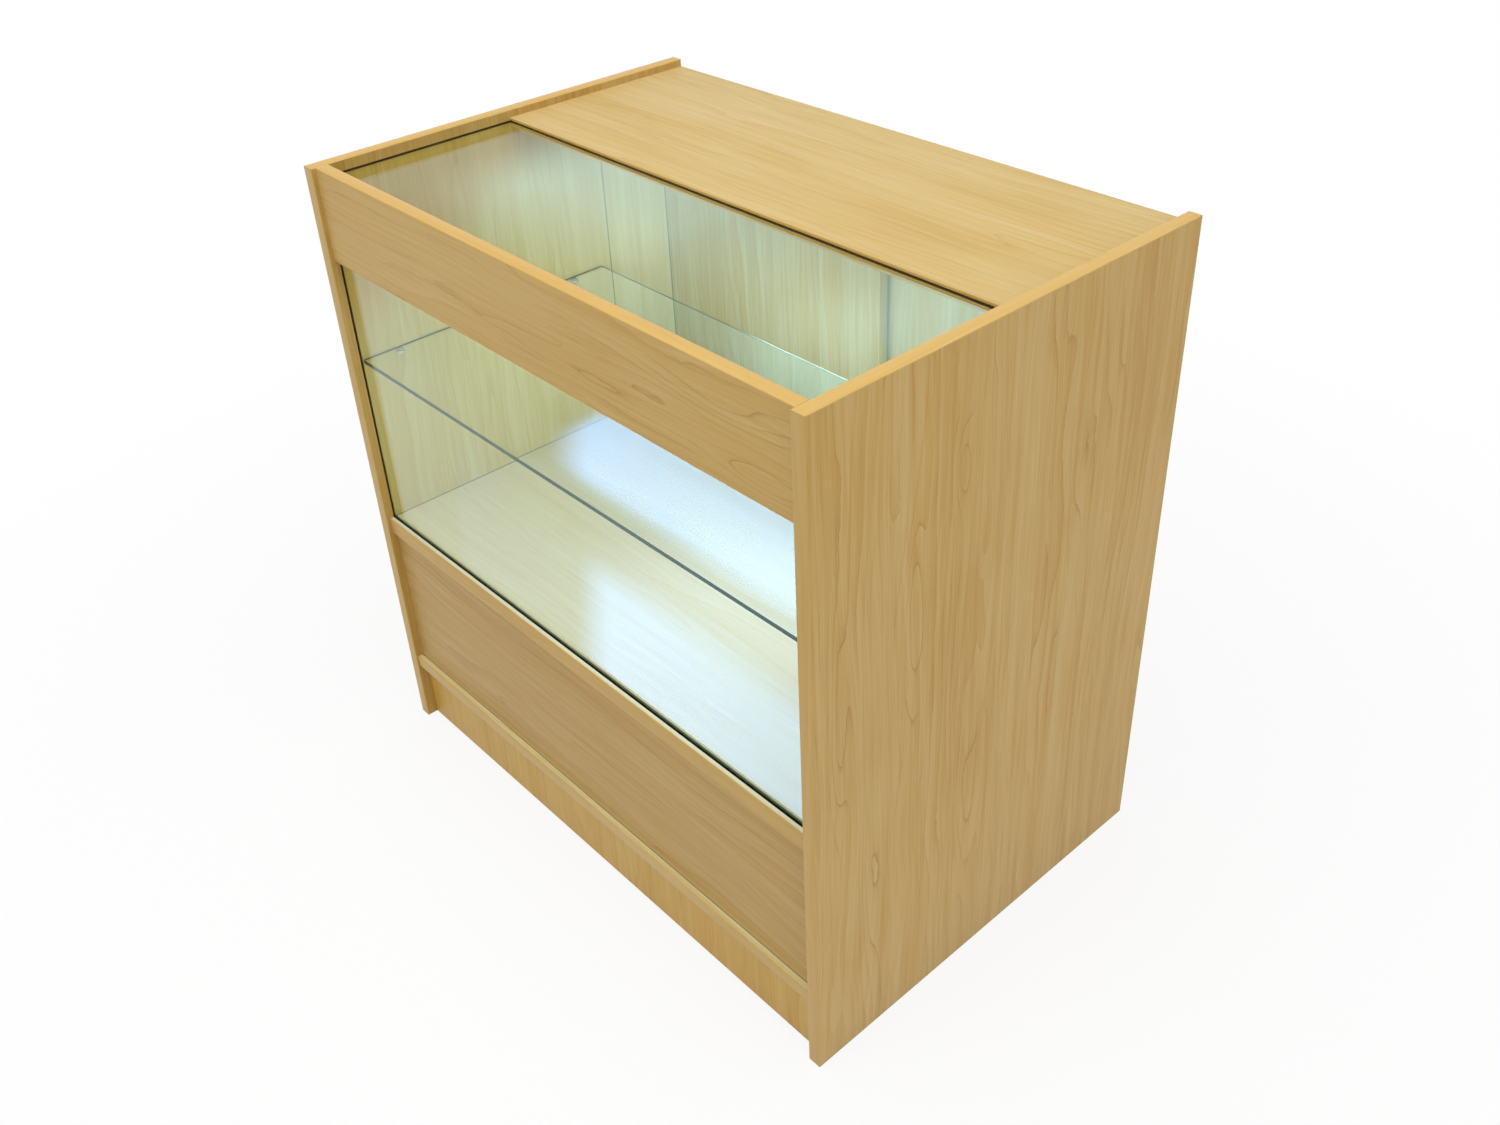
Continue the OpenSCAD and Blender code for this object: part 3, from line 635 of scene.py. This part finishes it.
def door_finish(side, seed):
    """A sliding door, whose grain is bolder than the other boards', with painted light on its face
    towards the display space.
    """
    board = "sliding_door_" + side
    return maple("maple_door_" + side, UPRIGHT_FRONT, seed, contrast=1.75, lines=0.35,
                 inside=display_side(board, Y_AXIS, -1, INNER_DOOR_LIGHT), core=board_core(board, Y_AXIS))


def edging_finishes():
    """Edging, calmer and a little glossier than the boards."""
    return {"edging_" + name: maple("maple_edging_" + name, axes, seed, contrast=0.5, lines=0.1,
                                    tone=tone, tint=tint, roughness=0.36)
            for name, axes, seed, tone, tint in EDGINGS}


def glass_finishes():
    """Clear faces of the panes and of the shelf, the edges and chamfers of the glass, and the painted
    teal shade at its foot.
    """
    return {
        "glass": clear_glass("float_glass", (0.90, 0.975, 0.935), (0.02, 0.36, 0.26)),
        "shelf_glass": clear_glass("shelf_glass", (0.96, 0.99, 0.975), (0.8, 1.0, 1.0)),
        "glass_edge": glass_edge(),
        "glass_arris": glass_arris(),
        # Teal finish of the front glass's foot, painted shade
        "glass_foot": plain_finish("glass_foot_painted_shade", (0.065, 0.115, 0.10), 0.3, 0.1,
                                   (50, 1, 1), 0.002),
    }


def fitting_finishes():
    """Metals, plastics and the dowels' wood."""
    return {
        "plated": plain_finish("nickel_plated_steel", (0.76, 0.80, 0.85), 0.24, 0.05,
                               (4, 0.4, 4), 0.004, 1.0),
        "zinc": plain_finish("zinc_plated_steel", (0.60, 0.61, 0.63), 0.32, 0.10,
                             (1.5, 1.5, 1.5), 0.01, 1.0),
        "casting": plain_finish("zinc_die_casting", (0.42, 0.43, 0.44), 0.45, 0.12,
                                (0.8, 0.8, 0.8), 0.03, 1.0),
        "track": plain_finish("track_plastic", (0.62, 0.52, 0.34), 0.42, 0.05,
                              (300, 0.8, 0.8), 0.02),
        "nylon": plain_finish("white_nylon", (0.80, 0.79, 0.74), 0.48, 0.04,
                              (2, 2, 2), 0.02, Subsurface_Weight=0.1, Subsurface_Scale=2 * MM),
        "pad": plain_finish("clear_pad", (0.78, 0.88, 0.92), 0.2, 0.03,
                            (2, 2, 2), 0.01, Transmission_Weight=0.6, IOR=1.45),
        "beech": plain_finish("beech", (0.62, 0.42, 0.24), 0.6, 0.12,
                              (50, 0.6, 0.6), 0.05),
    }


def make_materials():
    """Every finish, by name. Boards differ in grain direction and in where their pattern starts."""
    return {**side_finishes(), **top_finishes(), "deck": deck_finish(), **foot_finishes(),
            "door_left": door_finish("left", 31.0), "door_right": door_finish("right", 37.0),
            **edging_finishes(), **glass_finishes(), **fitting_finishes()}


# Mesh helpers

# Steps in the rounding of an edging strip, and the most that it takes of the strip's thickness
# and width
ROUND_STEPS = 4
ROUND_THICKNESS = 0.95
ROUND_WIDTH = 0.45
# Angles in degrees: corners of the CAD over the first are rounded, those under the second are
# taken out, and corners of a pane over the third are ground
CAD_CORNER = 35
FLAT_CORNER = 1
PANE_CORNER = 30
# Corners up to these angles are shaded as smooth
ROUNDED_SMOOTH = 40
EDGING_SMOOTH = 35
PANE_SMOOTH = 5
# A face of a pane is a chamfer if no part of its normal is over the first, and one of the two
# broad faces if the part along the thickness is over the second
CHAMFER_BELOW = 0.95
BROAD_ABOVE = 0.9
# Places of the finishes on a pane
PANE_CLEAR, PANE_EDGE, PANE_ARRIS, PANE_FOOT_SHADE = range(4)


def link_object(name, data):
    """A new object in the scene."""
    thing = bpy.data.objects.new(name, data)
    bpy.context.scene.collection.objects.link(thing)
    return thing


def add_object(name, mesh, materials, body, node):
    """Links a finished mesh as a piece of the object that stands for a CAD node."""
    piece = link_object(name, mesh)
    for mat in materials:
        mesh.materials.append(mat)
    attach(piece, body)
    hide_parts(node)


def paint(node, mat):
    """Gives a CAD node's object a finish in all its slots."""
    shown = frame["nodes"][node]
    if not shown.material_slots:
        shown.data.materials.append(mat)
    for place in shown.material_slots:
        place.material = mat


def strip_into(bm, low, high, out_axis, out_sign):
    """Adds a strip of edging to bm: a long bar whose two outer arrises are rounded."""
    size = [high[i] - low[i] for i in range(3)]
    axes = [i for i in range(3) if i != out_axis]
    along = max(axes, key=lambda i: size[i])
    across = min(axes, key=lambda i: size[i])
    radius = min(ARRIS, ROUND_THICKNESS * size[out_axis], ROUND_WIDTH * size[across])
    inner, outer = (low, high) if out_sign > 0 else (high, low)
    base = inner[out_axis]
    face = outer[out_axis]
    profile = [(low[across], base)]
    for centre, start in ((low[across] + radius, 180), (high[across] - radius, 90)):
        for step in range(ROUND_STEPS + 1):
            angle = math.radians(start - 90 * step / ROUND_STEPS)
            profile.append((centre + radius * math.cos(angle),
                            face - out_sign * radius * (1 - math.sin(angle))))
    profile.append((high[across], base))
    rings = []
    for end in (low[along], high[along]):
        ring = []
        for a, o in profile:
            spot = [0.0, 0.0, 0.0]
            spot[across], spot[out_axis], spot[along] = a, o, end
            ring.append(bm.verts.new(spot))
        rings.append(ring)
    count = len(profile)
    for i in range(count):
        j = (i + 1) % count
        bm.faces.new((rings[0][i], rings[0][j], rings[1][j], rings[1][i]))
    bm.faces.new(rings[0])
    bm.faces.new(reversed(rings[1]))


def mesh_from(bm, name, smooth_angle):
    """Turns bm into a mesh with outward normals, smooth over corners up to smooth_angle degrees."""
    bmesh.ops.recalc_face_normals(bm, faces=bm.faces)
    mesh = bpy.data.meshes.new(name)
    bm.to_mesh(mesh)
    bm.free()
    for face in mesh.polygons:
        face.use_smooth = True
    mesh.set_sharp_from_angle(angle=math.radians(smooth_angle))
    return mesh


def edging(node, part, strips, mat, body="carcass"):
    """A piece for a node of edging, made of strips: (low, high, axis they face, sign)."""
    name = node + part
    bm = bmesh.new()
    for strip in strips:
        strip_into(bm, *strip)
    add_object(name, mesh_from(bm, name, EDGING_SMOOTH), [mat], body, node)


def two_sides(board, node, axis):
    """The strips of a node of edging that lie before and behind a board along an axis."""
    low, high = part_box(board)
    out_low, out_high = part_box(node)
    before_high, behind_low = list(out_high), list(out_low)
    before_high[axis] = low[axis]
    behind_low[axis] = high[axis]
    return (out_low, before_high, axis, -1), (behind_low, out_high, axis, 1)


def softened(node, name, mat, radius, segments=2):
    """A copy of a CAD node with its sharp edges rounded, which stands for the node."""
    source = frame["nodes"][node]
    bm = bmesh.new()
    bm.from_mesh(source.data)
    bmesh.ops.remove_doubles(bm, verts=bm.verts, dist=TOUCH)
    flat, corner = math.radians(FLAT_CORNER), math.radians(CAD_CORNER)
    bmesh.ops.dissolve_limit(bm, angle_limit=flat, verts=bm.verts, edges=bm.edges)
    sharp = [e for e in bm.edges if len(e.link_faces) == 2 and e.calc_face_angle(0) > corner]
    bmesh.ops.bevel(bm, geom=sharp, offset=radius, segments=segments, profile=0.5,
                    affect="EDGES", clamp_overlap=True)
    add_object(name, mesh_from(bm, name, ROUNDED_SMOOTH), [mat], source["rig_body"], node)


# Pieces

def dress_side_panels(mats):
    """Both side panels with their front, top and rear edging."""
    for side in ("left", "right"):
        board = "side_panel_" + side
        node = board + "_edging"
        paint(board, mats["side_" + side])
        edging(node, "_front_rear", two_sides(board, node, Y_AXIS), mats["edging_z"])
        low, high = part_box(board)
        top = ([low.x, low.y, high.z], [high.x, high.y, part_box(node)[1].z], Z_AXIS, 1)
        edging(node, "_top", [top], mats["edging_y"])


def dress_level_boards(mats):
    """Fascia, worktop, deck and base board, with edging along the fascia's top and along the front and
    rear of the others.
    """
    for board, mat in (("front_fascia", "fascia"), ("rear_worktop", "worktop"),
                       ("display_deck", "deck"), ("base_board", "base")):
        paint(board, mats[mat])
    edging("fascia_edging", "_top", [(*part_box("fascia_edging"), Z_AXIS, 1)], mats["edging_x"])
    for board, node, mat in (("display_deck", "deck_edging", "edging_deck"),
                             ("base_board", "base_board_edging", "edging_base")):
        edging(node, "_front_rear", two_sides(board, node, Y_AXIS), mats[mat])
    front, rear = two_sides("rear_worktop", "worktop_edging", Y_AXIS)
    low, high, *facing = front
    below_groove = (low, [*high[:Z_AXIS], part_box("top_glass")[0].z], *facing)
    above_groove = ([*low[:Z_AXIS], groove_top_z()], high, *facing)
    edging("worktop_edging", "_front_rear", [below_groove, above_groove, rear], mats["edging_x"])


def groove_top_z():
    """Height of the upper side of the top glass's groove, read from the fascia's groove."""
    glass_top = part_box("top_glass")[1].z
    fascia_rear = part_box("front_fascia")[1].y
    levels = {round(v.co.z, 6) for v in frame["nodes"]["front_fascia"].data.vertices
              if abs(v.co.y - fascia_rear) < TOUCH and v.co.z > glass_top + HAIR}
    return min(levels)


def dress_uprights(mats):
    """Lower front panel and both plinths."""
    paint("lower_front_panel", mats["lower_panel"])
    paint("front_plinth", mats["plinth"])
    paint("rear_plinth", mats["plinth"])


def dress_doors(mats):
    """Both sliding doors with edging all round, finger pulls and glides."""
    for side in ("left", "right"):
        board = "sliding_door_" + side
        body = side + "_door"
        node = body + "_edging"
        paint(board, mats["door_" + side])
        edging(node, "_ends", two_sides(board, node, X_AXIS), mats["edging_door"], body)
        low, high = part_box(board)
        out_low, out_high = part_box(node)
        levels = [([low.x, low.y, out_low.z], [high.x, high.y, low.z], Z_AXIS, -1),
                  ([low.x, low.y, high.z], [high.x, high.y, out_high.z], Z_AXIS, 1)]
        edging(node, "_levels", levels, mats["edging_x"], body)
        softened(body + "_pull", body + "_pull_cup", mats["plated"], 0.35 * MM, 3)
        softened(body + "_glides", body + "_nylon_glides", mats["nylon"], 0.5 * MM)


def cut_across(bm, place, normal):
    """Cuts all of bm along a plane, and keeps both sides."""
    everything = [*bm.verts, *bm.edges, *bm.faces]
    bmesh.ops.bisect_plane(bm, geom=everything, plane_co=place, plane_no=normal)


def pane_finish(face, thin, seat_top):
    """Which of a pane's finishes one of its faces has."""
    height = face.calc_center_median().z
    if max(abs(c) for c in face.normal) < CHAMFER_BELOW:
        return PANE_ARRIS
    # Below seat_top the faces get the edge's dark finish, painted shade, and just above it the inner
    # face gets the teal foot finish, painted shade as well
    if abs(face.normal[thin]) < BROAD_ABOVE or (seat_top and height < seat_top):
        return PANE_EDGE
    if seat_top and height < seat_top + FOOT_SHADE_BAND and face.normal[thin] > 0:
        return PANE_FOOT_SHADE
    return PANE_CLEAR


def pane(node, name, mats, clear, rear_slope=None, seat_top=None):
    """A sheet of glass with ground arrises: clear faces, teal edges and frosted chamfers.
    rear_slope is (depth, drop) of a polished slope along the rear edge of its upper face.
    seat_top is the height below which the glass stands in a groove: there its faces get the edge's dark
    finish, painted shade. A band of painted teal shade lies on its inner face just above that."""
    low, high = (Vector(corner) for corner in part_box(node))
    size = high - low
    thin = min(range(3), key=lambda i: size[i])
    low[thin] += SEAT_CLEARANCE
    high[thin] -= SEAT_CLEARANCE
    bm = bmesh.new()
    bmesh.ops.create_cube(bm, size=1.0)
    for vert in bm.verts:
        vert.co = Vector(low[i] if vert.co[i] < 0 else high[i] for i in range(3))
    if rear_slope:
        depth, drop = rear_slope
        cut_across(bm, (0, high.y - depth, 0), (0, 1, 0))
        for vert in bm.verts:
            if vert.co.y > high.y - HAIR and vert.co.z > high.z - HAIR:
                vert.co.z -= drop
    if seat_top:
        for level in (seat_top, seat_top + FOOT_SHADE_BAND):
            cut_across(bm, (0, 0, level), (0, 0, 1))
    bm.normal_update()
    sharp = [e for e in bm.edges if e.calc_face_angle(0) > math.radians(PANE_CORNER)]
    bmesh.ops.bevel(bm, geom=sharp, offset=GLASS_ARRIS, segments=1, affect="EDGES")
    for face in bm.faces:
        face.normal_update()
        face.material_index = pane_finish(face, thin, seat_top)
    finishes = [mats[key] for key in (clear, "glass_edge", "glass_arris", "glass_foot")]
    add_object(name, mesh_from(bm, name, PANE_SMOOTH), finishes, "carcass", node)


def dress_glass(mats):
    """Top glass, front glass and shelf."""
    pane("top_glass", "top_glass_pane", mats, "glass")
    pane("front_glass", "front_glass_pane", mats, "glass", seat_top=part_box("display_deck")[1].z)
    pane("glass_shelf", "glass_shelf_pane", mats, "shelf_glass", SHELF_REAR_SLOPE)


def dress_fittings(mats):
    """Shelf supports, tracks, screws, cams, bolts and dowels."""
    softened("shelf_supports", "shelf_support_studs", mats["plated"], 0.4 * MM)
    softened("shelf_support_pads", "shelf_support_clear_pads", mats["pad"], 0.2 * MM)
    for node in ("upper_door_track", "lower_door_track"):
        softened(node, node + "_profile", mats["track"], 0.3 * MM)
    for node in ("upper_track_screws", "lower_track_screws"):
        paint(node, mats["zinc"])
    paint("cam_housings", mats["casting"])
    paint("cam_bolts", mats["zinc"])
    paint("timber_dowels", mats["beech"])


# Studio

FLOOR_SIZE = 16.0
FLOOR_DROP = 0.2 * MM
FLOOR_COLOUR = (0.86, 0.86, 0.86)
# Strength of the white surroundings as a source of light
AMBIENT = 0.52
# Share of plain white in what the eye sees of the floor, near the counter and far from it
WHITE_NEAR = 0.86
WHITE_FAR = 1.0
NEAR_RADIUS = 0.7
FAR_RADIUS = 1.9
# Darker ceiling that glass and metal mirror: how steeply up it starts and is reached, and its tone
CEILING_RISE = (0.15, 0.50)
CEILING_TONE = 0.30
# Lamps round the counter, and others in its display space that show in no glass:
# name, place, what it faces, size, power, and for some colour and spread in degrees
STUDIO_LAMPS = (
    ("overhead_softbox", (0.1, -0.2, 3.0), (0.0, 0.0, 0.6), (2.4, 2.0), 42),
    ("side_softbox", (3.4, -0.6, 1.8), (0.0, 0.0, 0.5), (1.4, 1.4), 21),
    ("front_softbox", (-0.3, -2.6, 3.0), (0.0, 0.0, 0.6), (1.2, 1.2), 20),
)
DISPLAY_LAMPS = (
    ("deck_fill", (0.07, 0.0, 0.84), (0.07, 0.0, 0.0), (0.50, 0.12), 0.96, (1.0, 1.0, 1.03), 180),
    ("wall_fill", (0.22, 0.05, 0.64), (-0.432, 0.15, 0.52), (0.12, 0.12), 0.30,
     (0.84, 1.0, 1.22), 66),
    ("deck_glow", (0.11, -0.02, 0.60), (0.11, -0.02, 0.0), (0.36, 0.16), 0.24,
     (0.74, 1.04, 2.1), 110),
)

# Two bands of window light on the floor before the counter, which the front glass mirrors:
# where they lie along Y, how soft their edges are, and how bright they are
FAR_BAND = (-1.20, -0.86)
FAR_BAND_EDGE = 0.035
FAR_BAND_LIGHT = 1.32
NEAR_BAND = (-0.70, -0.515)
NEAR_BAND_EDGE = 0.045
NEAR_BAND_LIGHT = 0.74
# They and the haze between them begin past a slanted line: how far it moves along X for each
# metre along Y, and how far past it each of them comes in
BAND_SLANT = 1.314
FAR_BAND_START = (0.18, 0.36)
NEAR_BAND_START = (0.29, 0.42)
HAZE_START = (0.20, 0.50)
HAZE_LIGHT = 0.06
# Where the far band comes in along X
FAR_BAND_LEFT = (-1.03, -0.96)
# Faint light round the near band's corner, with a slanted line of its own
CORNER_SLANT = 1.756
CORNER_START = (0.18, 0.23)
CORNER_DEPTH = (-0.85, -0.66)
CORNER_LIGHT = 0.05

# Ceiling light behind the counter, which level glass mirrors: where it comes in and goes out
# along Y, and where it comes in, dips and grows along X, with its shares before and after
GLOW_FRONT = (2.2, 3.05)
GLOW_REAR = (3.3, 4.0)
GLOW_LEFT = (-5.75, -4.9)
GLOW_DIP = (-4.05, -3.75, 1.0, 0.80)
GLOW_GROWS = (-3.1, -2.4, 0.6, 1.4)


def seen_directly(tree):
    """1 for what the camera sees, also mirrored or through glass, and 0 for light on things."""
    seen = tree.math("MAXIMUM", tree.ray("Camera"), tree.ray("Glossy"))
    return tree.math("MAXIMUM", seen, tree.ray("Transmission"))


def stage_sheet(name, mat, corner, side, other_side):
    """A rectangle of the studio, from one corner along two sides."""
    start, side, other_side = Vector(corner), Vector(side), Vector(other_side)
    mesh = bpy.data.meshes.new(name)
    corners = [start, start + side, start + side + other_side, start + other_side]
    mesh.from_pydata(corners, [], [(0, 1, 2, 3)])
    mesh.materials.append(mat)
    sheet = link_object(name, mesh)
    return sheet


def make_floor():
    """White floor. The camera sees it almost as pure white, with a faint shadow of the counter."""
    mat, tree, surface = material("studio_floor")
    diffuse = tree.add("ShaderNodeBsdfDiffuse", Color=FLOOR_COLOUR)
    glow = tree.add("ShaderNodeEmission", Color=WHITE, Strength=1.0)
    radius = tree.add("ShaderNodeVectorMath", {"operation": "LENGTH"}, Vector=tree.position())
    white = tree.spread(radius.outputs["Value"], NEAR_RADIUS, FAR_RADIUS, WHITE_NEAR, WHITE_FAR)
    share = tree.times(seen_directly(tree), white)
    tree.put(surface, tree.mix_shaders(share, diffuse.outputs[0], glow.outputs[0]))
    corner = (-FLOOR_SIZE / 2, -FLOOR_SIZE / 2, -FLOOR_DROP)
    stage_sheet("studio_floor", mat, corner, (FLOOR_SIZE, 0, 0), (0, FLOOR_SIZE, 0))


def make_world():
    """Even white surroundings: plain white to the eye, darker overhead in mirrors and glass, and
    softer as a source of light."""
    world = bpy.data.worlds.new("studio_white")
    world.use_nodes = True
    world.node_tree.nodes.clear()
    tree = Tree(world.node_tree)
    output = tree.add("ShaderNodeOutputWorld")
    direction = tree.add("ShaderNodeTexCoord").outputs["Generated"]
    height = tree.split(direction)[Z_AXIS]
    ceiling = tree.times(tree.spread(height, *CEILING_RISE), tree.ray("Glossy"))
    seen = tree.spread(ceiling, 0.0, 1.0, 1.0, CEILING_TONE, smooth=False)
    strength = tree.spread(seen_directly(tree), 0.0, 1.0, AMBIENT, seen, smooth=False)
    back = tree.add("ShaderNodeBackground", Color=WHITE, Strength=strength)
    tree.put(output.inputs["Surface"], back.outputs[0])
    bpy.context.scene.world = world


def reflection_card(name, corner, side, other_side, colour, strength, pattern):
    """A soft panel that shows only in the glass. pattern gives its brightness from X and Y."""
    mat, tree, surface = material(name)
    x, y = tree.split(tree.position())[:2]
    bright = tree.times(tree.times(pattern(tree, x, y), tree.ray("Singular")), strength)
    glow = tree.add("ShaderNodeEmission", Color=colour, Strength=bright)
    clear = tree.add("ShaderNodeBsdfTransparent", Color=WHITE)
    both = tree.add("ShaderNodeAddShader")
    tree.put(both.inputs[0], glow.outputs[0])
    tree.put(both.inputs[1], clear.outputs[0])
    tree.put(surface, both.outputs[0])
    card = stage_sheet(name, mat, corner, side, other_side)
    for ray in ("camera", "diffuse", "transmission", "volume_scatter", "shadow"):
        setattr(card, "visible_" + ray, False)


def soft_band(tree, value, low, high, edge):
    """1 between low and high, falling smoothly to 0 over edge on both sides."""
    rise = tree.spread(value, low - edge, low + edge)
    fall = tree.spread(value, high - edge, high + edge, 1.0, 0.0)
    return tree.times(rise, fall)


def past_slant(tree, x, y, slant):
    """How far to the right a place on the floor is of a slanted line through the origin."""
    return tree.minus(x, tree.times(y, slant))


def floor_bands(tree, x, y):
    """Two soft bands of window light across the floor before the counter, cut off on the left."""
    past = past_slant(tree, x, y, BAND_SLANT)
    far_cut = tree.times(tree.spread(past, *FAR_BAND_START), tree.spread(x, *FAR_BAND_LEFT))
    far_band = tree.times(soft_band(tree, y, *FAR_BAND, FAR_BAND_EDGE), far_cut)
    near_cut = tree.spread(past, *NEAR_BAND_START)
    near_band = tree.times(soft_band(tree, y, *NEAR_BAND, NEAR_BAND_EDGE), near_cut)
    haze = tree.times(tree.spread(past, *HAZE_START), HAZE_LIGHT)
    bands = tree.plus(tree.times(far_band, FAR_BAND_LIGHT), tree.times(near_band, NEAR_BAND_LIGHT))
    bands = tree.math("MAXIMUM", bands, haze)
    past_corner = tree.spread(past_slant(tree, x, y, CORNER_SLANT), *CORNER_START)
    corner = tree.times(past_corner, tree.spread(y, *CORNER_DEPTH))
    return tree.plus(bands, tree.times(corner, CORNER_LIGHT))


def ceiling_glow(tree, x, y):
    """A wide soft band of ceiling light behind the counter, stronger on the right."""
    band = tree.times(tree.spread(y, *GLOW_FRONT), tree.spread(y, *GLOW_REAR, 1.0, 0.0))
    rise = tree.times(tree.spread(x, *GLOW_LEFT), tree.spread(x, *GLOW_GROWS))
    return tree.times(band, tree.times(rise, tree.spread(x, *GLOW_DIP)))


def along(axis, *places_and_shares):
    """A pattern that comes in along X or Y, from one place to another and one share to another."""
    def pattern(tree, x, y):
        return tree.spread((x, y)[axis], *places_and_shares)
    return pattern


# Cards of light: name, one corner and the two sides from it, colour, strength and pattern.
# The shelf mirrors the last three: light that is stronger on its right half, light at its left
# end, and a bright line along the right part of its rear edge
LIGHT_CARDS = (
    ("floor_light_card", (-1.8, -1.3, 2 * MM), (2.3, 0, 0), (0, 0.85, 0),
     (0.29, 0.49, 1.04), 7.3, floor_bands),
    ("ceiling_light_card", (-7.0, 2.0, 3.0), (6.0, 0, 0), (0, 2.2, 0),
     (0.60, 0.95, 0.99), 3.0, ceiling_glow),
    ("shelf_light_card", (-0.43, 0.25, 0.70), (0.86, 0, 0), (0, 0, 0.165),
     (0.40, 0.90, 1.0), 3.4, along(X_AXIS, -0.42, 0.0, 0.2, 1.0)),
    ("wall_light_card", (-0.43, -0.04, 0.632), (0, 0.29, 0), (0, 0, 0.17),
     (0.60, 1.0, 1.05), 1.0, along(Y_AXIS, -0.04, 0.10)),
    ("shelf_glint_card", (-0.26, 0.25, 0.64), (0.30, 0, 0), (0, 0, 0.05),
     (0.80, 0.95, 1.0), 14.0, along(X_AXIS, -0.26, -0.15)),
)


def make_cards():
    """Soft panels of light that only the glass mirrors."""
    for card in LIGHT_CARDS:
        reflection_card(*card)


def area_light(name, place, target, size, power, colour=WHITE, spread=180):
    """A rectangular lamp that faces a target and that the camera doesn't see."""
    light = bpy.data.lights.new(name, "AREA")
    light.shape = "RECTANGLE"
    light.size, light.size_y = size
    light.energy = power
    light.color = colour
    light.spread = math.radians(spread)
    lamp = link_object(name, light)
    lamp.location = place
    lamp.rotation_euler = (Vector(target) - Vector(place)).to_track_quat("-Z", "Y").to_euler()
    lamp.visible_camera = False
    return lamp


def make_lights():
    """Softboxes round the counter, and soft light in its display space that shows in no glass."""
    for lamp_values in STUDIO_LAMPS:
        area_light(*lamp_values)
    for lamp_values in DISPLAY_LAMPS:
        lamp = area_light(*lamp_values)
        lamp.visible_glossy = False
        lamp.visible_transmission = False


def make_camera():
    """The photograph's camera."""
    data = bpy.data.cameras.new("photo_camera")
    data.sensor_fit = "HORIZONTAL"
    data.sensor_width = SENSOR
    data.lens = FOCAL_PX / PHOTO_W * SENSOR
    data.shift_x = (PHOTO_W / 2 - CENTRE_PX[0]) / PHOTO_W
    data.shift_y = (CENTRE_PX[1] - PHOTO_H / 2) / PHOTO_W
    data.clip_start = CLIP_START
    camera = link_object("photo_camera", data)
    back = -CAMERA_FORWARD.normalized()
    right = CAMERA_RIGHT.normalized()
    up = back.cross(right).normalized()
    right = up.cross(back)
    turn = Matrix((right, up, back)).transposed().to_4x4()
    camera.matrix_world = Matrix.Translation(CAMERA_AT) @ turn
    bpy.context.scene.camera = camera


make_camera()
finishes = make_materials()
dress_side_panels(finishes)
dress_level_boards(finishes)
dress_uprights(finishes)
dress_doors(finishes)
dress_glass(finishes)
dress_fittings(finishes)
make_floor()
make_world()
make_lights()
make_cards()
bpy.context.scene.view_settings.view_transform = "Standard"
